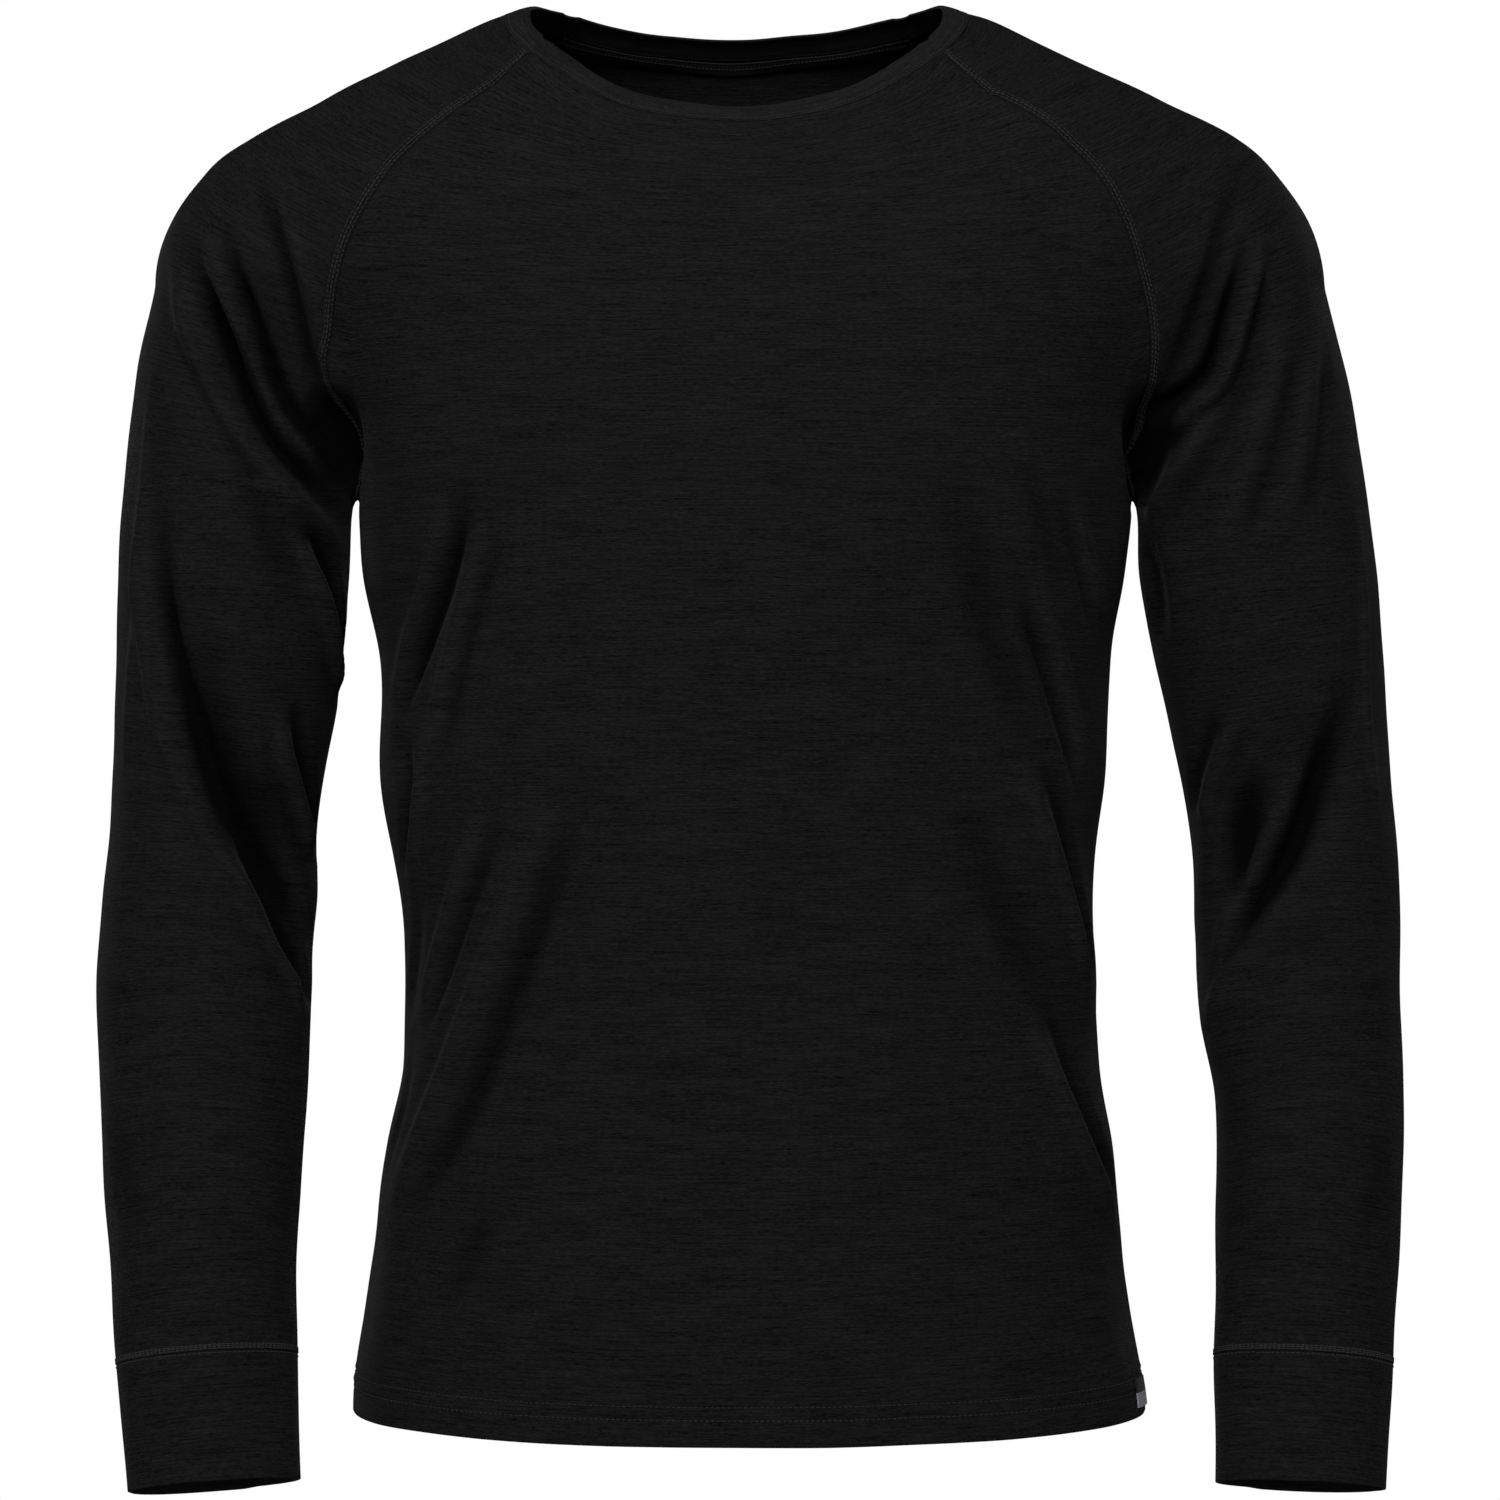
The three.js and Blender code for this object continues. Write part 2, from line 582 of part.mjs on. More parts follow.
// Closed body from a wall. `tube` counts the rows, from the first, that are closed rings.
function wallGeometry(wall, tube = 0) {
  const rows = wall.length;
  const columns = wall[0].length - 1;
  const positions = [];
  const number = new Map();
  const vertex = (i, j, face) => {
    const column = i < tube && j === columns ? 0 : j;
    const key = `${i},${column},${face}`;
    if (!number.has(key)) {
      number.set(key, positions.length / 3);
      positions.push(...wall[i][column][face]);
    }
    return number.get(key);
  };
  const triangles = [];
  const quad = (a, b, c, d) => triangles.push(a, b, c, a, c, d);
  for (let i = 0; i + 1 < rows; i += 1) {
    for (let j = 0; j < columns; j += 1) {
      const corners = [[i, j], [i, j + 1], [i + 1, j + 1], [i + 1, j]];
      quad(...corners.map(([r, c]) => vertex(r, c, "outer")));
      quad(...corners.map(([r, c]) => vertex(r, c, "inner")).reverse());
    }
  }
  // Each rim face is split from its lower outer corner, so both sides of a seam are split alike
  const rim = (a, b) => {
    const ends = [vertex(...b, "outer"), vertex(...a, "outer"), vertex(...a, "inner"), vertex(...b, "inner")];
    const height = ([i, j]) => wall[i][j].outer[2];
    if (height(b) < height(a)) quad(...ends);
    else quad(...ends.slice(1), ends[0]);
  };
  for (let j = 0; j < columns; j += 1) {
    rim([0, j], [0, j + 1]);
    rim([rows - 1, j + 1], [rows - 1, j]);
  }
  for (let i = Math.max(tube - 1, 0); i + 1 < rows; i += 1) {
    if (i + 1 < tube) continue;
    rim([i + 1, 0], [i, 0]);
    rim([i, columns], [i + 1, columns]);
  }
  const geometry = new THREE.BufferGeometry();
  geometry.setAttribute("position", new THREE.Float32BufferAttribute(positions, 3));
  geometry.setIndex(triangles);
  geometry.computeVertexNormals();
  return geometry;
}

// Turns a wall geometry right side out if its grid ran the other way
function facingOut(geometry) {
  const position = geometry.getAttribute("position");
  const index = geometry.getIndex();
  const point = (i) => [position.getX(i), position.getY(i), position.getZ(i)];
  let volume = 0;
  for (let i = 0; i < index.count; i += 3) {
    const [a, b, c] = [0, 1, 2].map((k) => point(index.getX(i + k)));
    volume += dot(a, cross(b, c)) / 6;
  }
  if (volume < 0) {
    for (let i = 0; i < index.count; i += 3) {
      const swapped = index.getX(i + 1);
      index.setX(i + 1, index.getX(i + 2));
      index.setX(i + 2, swapped);
    }
    geometry.computeVertexNormals();
  }
  return geometry;
}

const oneLayer = () => WALL;
const hemmed = (p) => WALL + (HEM_WALL - WALL) * smooth((HEM_Z + HEM_DEPTH + 4 - p[2]) / 6);

function clothGeometry(grid, thicknessAt, tube = 0) {
  return facingOut(wallGeometry(drawBack(clothWall(grid, thicknessAt), tube), tube));
}

// The neckband stands on the neck seam and leans into the opening
function neckbandGeometry() {
  const loop = [neck.front, neck.left, neck.back, neck.right].flatMap((arc) => arc.slice(0, -1));
  const count = loop.length;
  const base = loop.map((p) => clothPoint(p));
  const spots = base.map(({ outer, normal }, i) => {
    const along = unit(minus(base[(i + 1) % count].outer, base[(i + count - 1) % count].outer));
    const level = unit([-along[1], along[0], 0]);
    const frontness = Math.abs(outer[1] - NECK.y) / NECK.front;
    const rise = BAND_RISE_SIDE + (BAND_RISE_FRONT - BAND_RISE_SIDE) * smooth(frontness * 1.1);
    const lean = plus(level.map((v) => v * Math.cos(rise * RADIANS)), [0, 0, 1], Math.sin(rise * RADIANS));
    const out = unit(cross(along, lean));
    return { outer, normal, lean, out };
  });
  const ring = (width, bulge, useSeamNormal) => spots.map(({ outer, normal, lean, out }) => {
    const face = plus(plus(outer, lean, width), out, bulge);
    return { outer: face, inner: plus(face, useSeamNormal ? normal : out, -BAND_WALL) };
  });
  const rings = [
    ring(SEAM_GAP / 2, 0, true),
    ring(BAND_WIDTH * 0.5, 0.5, false),
    ring(BAND_WIDTH, 0, false),
  ];
  const closed = rings.map((row) => [...row, row[0]]);
  return facingOut(wallGeometry(closed, closed.length));
}

// A strip on the inside of the back panel, just below the neck seam, made from the panel's own points
function tapeGeometry() {
  const panel = clothWall(backGrid.slice(-2), oneLayer);
  const wall = [TAPE_START, TAPE_START + TAPE_WIDTH].map((depth) =>
    panel[1].slice(1, -1).map((spot, j) => {
      const below = panel[0][j + 1];
      const t = depth / length(minus(below.inner, spot.inner));
      const outer = plus(mix(spot.inner, below.inner, t), spot.normal, -SEAM_GAP);
      return { outer, inner: plus(outer, spot.normal, -TAPE_WALL) };
    }));
  return facingOut(wallGeometry(wall));
}

// A flat tab on the front panel, from the side seam forward
function labelGeometry() {
  const columns = 4;
  const rows = [0, 0.5, 1].map((down) =>
    Array.from({ length: columns + 1 }, (_, j) => {
      const z = LABEL_TOP_Z - down * LABEL_HEIGHT;
      const level = torsoLevel(z);
      const y = SIDE_SEAM_HEM_Y - 1 - (j / columns) * LABEL_WIDTH;
      const v = Math.abs((y - level.y) / level.b);
      const power = torso.power(z);
      return settle([level.x + level.a * (1 - v ** power) ** (1 / power), y, z]);
    }));
  return facingOut(wallGeometry(clothWall(rows, () => LABEL_WALL, LABEL_WALL + SEAM_GAP / 2)));
}

const jersey = { color: 0x17171a, roughness: 0.92, metalness: 0 };
const tape = { color: 0x26262a, roughness: 0.85, metalness: 0 };
const pale = { color: 0x6b6b6e, roughness: 0.7, metalness: 0 };

function piece(name, geometry, finish) {
  const mesh = new THREE.Mesh(geometry, new THREE.MeshStandardMaterial(finish));
  mesh.name = name;
  return mesh;
}

const top = new THREE.Group();
top.name = "base_layer_top";
top.add(
  piece("front_panel", clothGeometry(frontGrid, hemmed), jersey),
  piece("back_panel", clothGeometry(backGrid, hemmed), jersey),
  piece("sleeve_right", clothGeometry(sleeveGrids.right, oneLayer, SLEEVE_ROWS + 1), jersey),
  piece("sleeve_left", clothGeometry(sleeveGrids.left, oneLayer, SLEEVE_ROWS + 1), jersey),
  piece("cuff_right", clothGeometry(cuffGrid("right", -1), oneLayer, CUFF_ROWS + 1), jersey),
  piece("cuff_left", clothGeometry(cuffGrid("left", 1), oneLayer, CUFF_ROWS + 1), jersey),
  piece("neckband", neckbandGeometry(), jersey),
  piece("neck_tape", tapeGeometry(), tape),
  piece("side_label", labelGeometry(), pale),
);

export default top;
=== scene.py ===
import math

import bpy
import numpy as np
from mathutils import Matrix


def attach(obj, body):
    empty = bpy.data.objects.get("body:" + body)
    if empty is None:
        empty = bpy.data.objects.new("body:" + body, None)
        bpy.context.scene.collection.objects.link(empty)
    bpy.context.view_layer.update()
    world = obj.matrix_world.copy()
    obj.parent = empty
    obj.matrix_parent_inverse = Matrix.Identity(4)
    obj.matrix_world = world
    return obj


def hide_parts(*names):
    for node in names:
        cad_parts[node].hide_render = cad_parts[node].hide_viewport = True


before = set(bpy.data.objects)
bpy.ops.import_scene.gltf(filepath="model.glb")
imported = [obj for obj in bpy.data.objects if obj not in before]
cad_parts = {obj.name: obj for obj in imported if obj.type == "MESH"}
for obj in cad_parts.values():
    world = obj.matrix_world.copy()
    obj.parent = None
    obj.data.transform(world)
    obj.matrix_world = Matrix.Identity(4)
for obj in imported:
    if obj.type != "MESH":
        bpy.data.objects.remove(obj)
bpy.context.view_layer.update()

# A long-sleeved knitted base layer top, hollow and open, standing as if worn.
# Tables and sizes are in millimetres in the frame of the solids: +Z up, the front faces -Y,
# +X is the side of the wearer's left arm. Meshes are written in metres.
# Each cloth piece is a thin closed shell on the same form as its solid, with finer folds.

MM = 0.001

# Cloth
WALL = 1.1
HEM_WALL = 2.1
HEM_DEPTH = 20
SEAM_GAP = 0.3

# Heights
HEM_Z = -674
HEM_DROP = 7
HEM_DROP_RISE = 119
CUFF_SEAM_Z = -647.6
CUFF_END_Z = -706
SIDE_SEAM_HEM_Y = -14
EASE_RISE = 230
DOME_HEIGHT = 62

# Neckband and tape
BAND_WIDTH = 12.5
BAND_WALL = 1.9
BAND_RISE_FRONT = 41
BAND_RISE_SIDE = 14
TAPE_START = 1.6
TAPE_WIDTH = 7
TAPE_WALL = 0.9

# Side label
LABEL_WIDTH = 20
LABEL_TOP_Z = -657
LABEL_HEIGHT = 14
LABEL_WALL = 0.9

# Stitching
STITCH = {"pitch": 2.6, "length": 2.0, "radius": 0.26}
HEM_ROWS = [12.0, 18.5]  # above the hem edge, with a soft raised strip between them
CUFF_ROWS_UP = [0.7, 1.6, 2.5]  # above the cuff seam, on the sleeve
CUFF_ROW_DOWN = 1.0  # below it, on the cuff
BAND_ROW = 2.4  # above the neck seam
RAGLAN_ROWS_OUT = [1.1, 2.8, 4.4]  # from the seam, on the sleeve

TORSO = {
    "columns": ["z", "right", "left", "front", "back", "power"],
    "rows": [
        [8, 104, 90, -10, 40, 2.2],
        [0, 127, 115, -35, 56, 2.2],
        [-13, 156, 145, -50, 74, 2.2],
        [-25, 180, 171, -62, 82, 2.3],
        [-39, 206, 200, -74, 89, 2.3],
        [-59, 236, 232, -86, 97, 2.3],
        [-78, 250, 242, -97, 103, 2.3],
        [-110, 240, 232, -108, 108, 2.3],
        [-150, 212, 206, -116, 110, 2.3],
        [-190, 197, 190, -119, 109, 2.3],
        [-233, 189.5, 184.5, -119, 106, 2.3],
        [-272, 186, 180, -117, 102, 2.3],
        [-311, 179, 174, -114, 98, 2.3],
        [-369, 179, 171, -110, 93, 2.3],
        [-408, 172, 167, -108, 92, 2.3],
        [-447, 167, 167, -107, 93, 2.3],
        [-505, 168, 170, -107, 97, 2.3],
        [-544, 175, 176, -108, 101, 2.3],
        [-583, 181, 179, -109, 106, 2.3],
        [-622, 187, 184, -111, 110, 2.3],
        [-661, 192, 191, -112, 113, 2.3],
        [-685, 193, 193, -112, 114, 2.3],
    ],
}
ARM_COLUMNS = ["z", "x", "y", "width", "depth"]
ARMS = {
    "right": {
        "columns": ARM_COLUMNS,
        "rows": [
            [-130, -229, 4, 61, 60],
            [-175, -239, 5, 60, 57],
            [-233, -249, 6, 56.5, 54],
            [-272, -252, 7, 57, 52],
            [-330, -256, 10, 54, 49],
            [-389, -262, 12, 51, 47],
            [-428, -264, 9, 52.5, 46],
            [-467, -265.5, 3, 52.5, 45],
            [-525, -265, -9, 49.5, 42],
            [-583, -264.5, -23, 46.5, 38],
            [-640, -261.5, -37, 44, 33],
            [-710, -255.5, -53, 41.5, 28],
        ],
    },
    "left": {
        "columns": ARM_COLUMNS,
        "rows": [
            [-130, 220, 4, 60, 60],
            [-175, 230, 5, 60, 57],
            [-233, 243.7, 6, 56.2, 54],
            [-272, 247, 7, 58, 52],
            [-311, 252.5, 9, 56, 50],
            [-350, 259, 11, 53, 48],
            [-389, 264, 12, 51, 47],
            [-447, 266.5, 6, 50, 46],
            [-486, 268, -1, 49, 44],
            [-525, 270.5, -9, 45.5, 42],
            [-583, 269, -23, 45, 38],
            [-640, 265.5, -37, 43, 33],
            [-710, 262, -53, 40.5, 28],
        ],
    },
}
SIGN = {"right": -1, "left": 1}
JOIN = {
    "columns": ["z", "radius"],
    "rows": [[-60, 30], [-150, 42], [-200, 26], [-226, 10], [-245, 6]],
}
NECK = {
    "x": -6.7,
    "y": -6,
    "halfWidth": 113,
    "front": 80,
    "back": 76,
    "top": 1.5,
    "frontDip": 60,
    "backDip": 14,
}
CORNER = {"front": 29.5, "back": 40}
RAGLAN = {
    "rightFront": [[-120, -36], [-143, -52], [-164, -72], [-178, -91], [-189, -111], [-196, -134],
                   [-199, -153], [-201, -174], [-197, -193], [-192, -207], [-190.5, -222]],
    "leftFront": [[112, -41], [136, -55], [152, -70], [166, -85], [178, -108], [185, -130], [189, -146],
                  [191, -162], [191, -183], [188, -207], [185.5, -222]],
    "rightBack": [[-112, -26], [-134, -48], [-153, -72], [-169, -96], [-182, -120], [-191, -145],
                  [-196, -170], [-195, -192], [-192, -210], [-190.5, -222]],
    "leftBack": [[104, -26], [126, -48], [145, -72], [161, -96], [174, -120], [184, -145], [189, -170],
                 [189, -192], [187, -210], [185.5, -222]],
}
ARMPIT = {"right": [-191, 1, -229], "left": [186, 1, -231]}
SHOULDER_LINE = {
    "right": [[-305, -233], [-300, -185], [-291, -136], [-276, -95], [-245, -60], [-207, -38], [-166, -19],
              [-122, 0]],
    "left": [[300, -233], [292, -185], [281, -136], [266, -95], [237, -60], [198, -38], [155, -19], [108, 0]],
}

# Folds: what they are on, height out of the cloth (troughs are negative), half width,
# the face they show on, and their line as [x, z]
FRONT = -1
BACK = 1
TORSO_PART, RIGHT_PART, LEFT_PART = 0, 1, 2
FOLD_COLUMNS = ["part", "height", "reach", "face", "line"]
FOLDS = [
    # The large ones, which the solids have too
    [TORSO_PART, -6, 36, FRONT, [[-118, -220], [-141, -266], [-159, -299], [-166, -345]]],
    [TORSO_PART, 5, 34, FRONT, [[-103, -390], [-126, -467], [-145, -510], [-175, -580]]],
    [TORSO_PART, -6, 36, FRONT, [[88, -220], [105, -273], [131, -315], [154, -350]]],
    [TORSO_PART, 5, 34, FRONT, [[124, -365], [141, -414], [156, -453], [166, -490]]],
    [TORSO_PART, 4, 34, FRONT, [[126, -490], [143, -526], [157, -554], [176, -592]]],
    [TORSO_PART, -6, 38, BACK, [[-105, -235], [-122, -275], [-140, -315], [-160, -350]]],
    [TORSO_PART, -6, 38, BACK, [[98, -230], [118, -275], [136, -318], [152, -352]]],
    [TORSO_PART, 6, 40, BACK, [[-130, -400], [-70, -425], [0, -430], [60, -420]]],
    [TORSO_PART, -5, 38, BACK, [[-90, -455], [-20, -468], [60, -462], [120, -440]]],
    [RIGHT_PART, -8, 30, FRONT, [[-254, -125], [-244, -159], [-228, -183], [-205, -212]]],
    [RIGHT_PART, -7, 30, FRONT, [[-266, -150], [-249, -190], [-228, -220], [-203, -250]]],
    [RIGHT_PART, 5, 28, FRONT, [[-235, -221], [-216, -259], [-205, -290], [-200, -315]]],
    [RIGHT_PART, -8, 32, FRONT, [[-280, -271], [-275, -310], [-263, -355], [-246, -400], [-222, -440],
        [-208, -470]]],
    [RIGHT_PART, 6, 28, BACK, [[-290, -360], [-266, -395], [-238, -425], [-215, -450]]],
    [LEFT_PART, -8, 30, FRONT, [[237, -125], [227, -160], [212, -184], [194, -208]]],
    [LEFT_PART, 5, 28, FRONT, [[228, -183], [212, -211], [200, -238], [191, -262]]],
    [LEFT_PART, -8, 32, FRONT, [[279, -335], [266, -374], [249, -408], [230, -436], [215, -468]]],
    [LEFT_PART, 6, 28, BACK, [[292, -360], [268, -395], [242, -425], [222, -450]]],
    # Torso front, finer
    [TORSO_PART, -3.0, 9, FRONT, [[-133, -222], [-141, -250], [-149, -276], [-158, -300], [-165, -325],
        [-168, -360]]],
    [TORSO_PART, -2.5, 9, FRONT, [[-157, -422], [-160, -455], [-163, -488]]],
    [TORSO_PART, 2.4, 11, FRONT, [[-103, -405], [-123, -465], [-143, -515], [-165, -560], [-176, -584]]],
    [TORSO_PART, -2.5, 9, FRONT, [[-159, -500], [-166, -530], [-174, -562]]],
    [TORSO_PART, -2.0, 12, FRONT, [[-118, -562], [-132, -592], [-147, -624]]],
    [TORSO_PART, -2.5, 16, FRONT, [[95, -222], [104, -260], [114, -295], [127, -330], [138, -364]]],
    [TORSO_PART, -2.0, 9, FRONT, [[127, -218], [140, -248], [152, -286]]],
    [TORSO_PART, -2.5, 16, FRONT, [[96, -368], [110, -405], [124, -440], [138, -470], [151, -500]]],
    # Torso back, finer
    [TORSO_PART, -3.0, 11, BACK, [[-126, -226], [-136, -256], [-146, -288], [-158, -322]]],
    [TORSO_PART, -2.6, 13, BACK, [[96, -232], [112, -266], [126, -304], [140, -338]]],
    [TORSO_PART, -2.6, 14, BACK, [[-58, -398], [2, -408], [62, -402], [112, -382]]],
    [TORSO_PART, 2.2, 13, BACK, [[-20, -488], [44, -486], [108, -466], [146, -442]]],
    [TORSO_PART, 1.8, 12, BACK, [[-150, -470], [-136, -505], [-132, -545]]],
    # Wearer's right sleeve, finer
    [RIGHT_PART, -3.0, 13, FRONT, [[-246, -205], [-236, -232], [-227, -258], [-217, -288]]],
    [RIGHT_PART, -3.4, 14, FRONT, [[-238, -352], [-226, -378], [-216, -400], [-212, -424]]],
    [RIGHT_PART, -4.0, 13, FRONT, [[-222, -240], [-208, -256], [-199, -278]]],
    [RIGHT_PART, -6.0, 20, FRONT, [[-272, -300], [-258, -355], [-240, -390], [-229, -416], [-223, -440],
        [-220, -466], [-219, -486]]],
    [RIGHT_PART, 2.4, 5, FRONT, [[-286, -166], [-290, -202], [-292, -245], [-296, -288], [-300, -326],
        [-303, -372]]],
    [RIGHT_PART, -1.6, 12, FRONT, [[-306, -526], [-299, -561], [-289, -595]]],
    [RIGHT_PART, -3.0, 12, BACK, [[-246, -140], [-232, -172], [-214, -196], [-200, -212]]],
    [RIGHT_PART, -3.2, 12, BACK, [[-300, -378], [-276, -410], [-248, -436], [-222, -458]]],
    [RIGHT_PART, -2.4, 12, BACK, [[-296, -344], [-268, -374], [-240, -396]]],
    # Wearer's left sleeve, finer
    [LEFT_PART, -3.8, 7, FRONT, [[238, -66], [231, -90], [225, -106], [219, -128], [212, -150],
        [205, -172], [198, -192]]],
    [LEFT_PART, -5.0, 13, FRONT, [[216, -188], [204, -204], [195, -221], [190, -238]]],
    [LEFT_PART, -8.5, 12, FRONT, [[289, -318], [282, -348], [273, -374], [263, -396], [250, -416],
        [239, -434], [231, -452], [226, -470]]],
    [LEFT_PART, 4.5, 9, FRONT, [[268, -362], [257, -385], [244, -406], [233, -424], [226, -441],
        [223, -460]]],
    [LEFT_PART, 3.6, 9, FRONT, [[262, -414], [248, -433], [236, -451], [226, -470], [219, -492]]],
    [LEFT_PART, -7, 14, FRONT, [[245, -360], [237, -386], [233, -410], [231, -436]]],
    [LEFT_PART, -4.5, 12, FRONT, [[191, -240], [194, -262], [197, -284], [199, -306]]],
    [LEFT_PART, -1.5, 8, FRONT, [[243, -452], [262, -448], [286, -445]]],
    [LEFT_PART, -2.2, 9, FRONT, [[241, -342], [230, -362], [223, -380]]],
    [LEFT_PART, 2.6, 5, FRONT, [[291, -235], [294, -262], [296, -295], [297, -330], [300, -362],
        [304, -396]]],
    [LEFT_PART, -1.6, 12, FRONT, [[306, -538], [300, -569], [294, -597]]],
    [LEFT_PART, -3.0, 12, BACK, [[238, -138], [224, -170], [206, -194], [193, -210]]],
    [LEFT_PART, -3.2, 12, BACK, [[302, -376], [280, -408], [252, -436], [226, -458]]],
    [LEFT_PART, -2.4, 12, BACK, [[298, -342], [272, -372], [244, -396]]],
    # Where both sleeves sink behind the edge of the body just above the armpit
    [None, -10, 18, FRONT, [[-204, -180], [-198, -200], [-193, -219], [-192, -233]]],
    [None, -10, 18, FRONT, [[193, -180], [189, -202], [186, -221], [187, -234]]],
]

# Shares of its length over which a ridge rises and ends
RIDGE_START, RIDGE_END = 0.34, 0.26

# Creases: a ridge and a trough side by side, with the ridge to the -X (-1) or +X (1) side of the line
CREASE_COLUMNS = ["part", "height", "reach", "face", "ridge", "line"]
CREASES = [
    # Torso front
    [TORSO_PART, 3.6, 13, FRONT, -1, [[-137, -226], [-146, -258], [-155, -285], [-165, -310],
        [-171, -336]]],
    [TORSO_PART, 3.6, 10, FRONT, 1, [[-160, -345], [-160, -370], [-162, -395], [-165, -420]]],
    [TORSO_PART, 2.6, 12, FRONT, -1, [[-119, -240], [-131, -275], [-139, -305], [-146, -335],
        [-153, -366]]],
    [TORSO_PART, 3.6, 12, FRONT, -1, [[-120, -378], [-131, -408], [-139, -434], [-147, -460],
        [-157, -492]]],
    [TORSO_PART, 3.8, 18, FRONT, -1, [[-80, -362], [-95, -398], [-105, -430], [-117, -465],
        [-128, -495], [-140, -525], [-156, -556], [-171, -585]]],
    [TORSO_PART, 4.0, 11, FRONT, 1, [[126, -268], [139, -296], [147, -320], [154, -348], [161, -380]]],
    [TORSO_PART, 2.4, 10, FRONT, 1, [[149, -230], [158, -262], [167, -300]]],
    [TORSO_PART, 4.4, 13, FRONT, -1, [[130, -352], [142, -388], [150, -416], [157, -446], [164, -478]]],
    [TORSO_PART, 4.4, 14, FRONT, -1, [[134, -470], [146, -505], [156, -532], [167, -558], [178, -586]]],
    # Torso back
    [TORSO_PART, 2.6, 12, BACK, -1, [[-140, -240], [-149, -272], [-159, -306], [-167, -340]]],
    [TORSO_PART, 2.8, 12, BACK, 1, [[130, -250], [142, -286], [152, -320], [160, -356]]],
    [TORSO_PART, 2.4, 12, BACK, -1, [[-128, -410], [-140, -445], [-150, -480], [-158, -512]]],
    [TORSO_PART, 2.6, 12, BACK, 1, [[126, -480], [142, -515], [156, -548], [170, -582]]],
    # Wearer's right sleeve
    [RIGHT_PART, 4.4, 10, FRONT, 1, [[-236, -70], [-225, -98], [-217, -122], [-211, -146], [-206, -168],
        [-201, -196]]],
    [RIGHT_PART, 6.4, 11, FRONT, -1, [[-258, -98], [-250, -128], [-242, -152], [-234, -172],
        [-225, -190], [-213, -208], [-199, -222]]],
    [RIGHT_PART, 8.0, 16, FRONT, -1, [[-276, -108], [-266, -142], [-256, -168], [-246, -188],
        [-233, -208], [-218, -226], [-203, -244], [-197, -258]]],
    [RIGHT_PART, 5.5, 12, FRONT, -1, [[-216, -244], [-208, -270], [-203, -292], [-201, -316],
        [-203, -336]]],
    [RIGHT_PART, 6.2, 16, FRONT, -1, [[-288, -215], [-288, -265], [-284, -310], [-274, -350],
        [-260, -382], [-243, -408], [-228, -424], [-217, -444], [-210, -464]]],
    [RIGHT_PART, 5.0, 12, FRONT, -1, [[-250, -398], [-238, -420], [-227, -442], [-218, -462],
        [-214, -486]]],
    [RIGHT_PART, 5.5, 12, FRONT, -1, [[-224, -328], [-221, -350], [-217, -370], [-213, -392],
        [-212, -412]]],
    [RIGHT_PART, 5.0, 14, BACK, -1, [[-262, -150], [-246, -186], [-226, -214], [-204, -238]]],
    [RIGHT_PART, 5.0, 15, BACK, -1, [[-288, -392], [-262, -424], [-238, -448], [-216, -470]]],
    # Wearer's left sleeve
    [LEFT_PART, 6.2, 10, FRONT, 1, [[243, -104], [237, -130], [231, -156], [226, -170], [219, -181],
        [208, -190], [197, -199], [188, -208]]],
    [LEFT_PART, 2.4, 13, FRONT, -1, [[246, -94], [242, -122], [237, -155], [231, -178], [222, -198],
        [212, -216], [203, -234], [191, -260]]],
    [LEFT_PART, 2.6, 12, FRONT, -1, [[260, -150], [254, -182], [246, -214], [236, -240], [229, -264]]],
    [LEFT_PART, 2.2, 12, FRONT, -1, [[276, -150], [272, -186], [268, -216], [262, -248]]],
    [LEFT_PART, 3.4, 12, FRONT, 1, [[230, -334], [223, -356], [218, -374], [216, -392]]],
    [LEFT_PART, 5.0, 14, BACK, 1, [[254, -148], [240, -184], [220, -212], [198, -236]]],
    [LEFT_PART, 5.0, 15, BACK, 1, [[290, -390], [266, -422], [242, -446], [222, -468]]],
]

# Slight unevenness of the hanging cloth: a few long soft waves
RIPPLES = {"count": 26, "height": 0.16, "shortest": 26, "longest": 95}
rng = np.random.default_rng(11)


def unit(v):
    return v / np.maximum(np.linalg.norm(v, axis=-1, keepdims=True), 1e-9)


def smooth(t):
    t = np.clip(t, 0, 1)
    return t * t * (3 - 2 * t)


def hermite(a, b, slope_a, slope_b, t):
    u = 1 - t
    return a * u * u * (1 + 2 * t) + b * t * t * (3 - 2 * t) + slope_a * t * u * u - slope_b * t * t * u


# Slopes through a row of values, one-sided at both ends
def slopes_of(values, places):
    slopes = np.empty_like(values)
    slopes[1:-1] = (values[2:] - values[:-2]) / (places[2:] - places[:-2])
    slopes[0] = (values[1] - values[0]) / (places[1] - places[0])
    slopes[-1] = (values[-1] - values[-2]) / (places[-1] - places[-2])
    return slopes


LEVEL_START, LEVEL_STEP, LEVEL_COUNT = -770.0, 0.5, 1680


# The columns of a table as smooth functions of height, constant past both ends
def levels_of(table):
    rows = np.array(table["rows"][::-1], float)
    heights = rows[:, 0]
    slopes = slopes_of(rows[:, 1:], heights[:, None])
    levels = LEVEL_START + LEVEL_STEP * np.arange(LEVEL_COUNT)
    i = np.clip(np.searchsorted(heights, levels, side="right") - 1, 0, len(rows) - 2)
    step = (heights[i + 1] - heights[i])[:, None]
    t = np.clip((levels - heights[i])[:, None] / step, 0, 1)
    curves = hermite(rows[i, 1:], rows[i + 1, 1:], slopes[i] * step, slopes[i + 1] * step, t)

    def at(z):
        place = np.clip((np.asarray(z) - LEVEL_START) / LEVEL_STEP, 0, LEVEL_COUNT - 2)
        low = place.astype(int)
        part = (place - low)[..., None]
        found = curves[low] * (1 - part) + curves[low + 1] * part
        return [found[..., k] for k in range(found.shape[-1])]

    return at


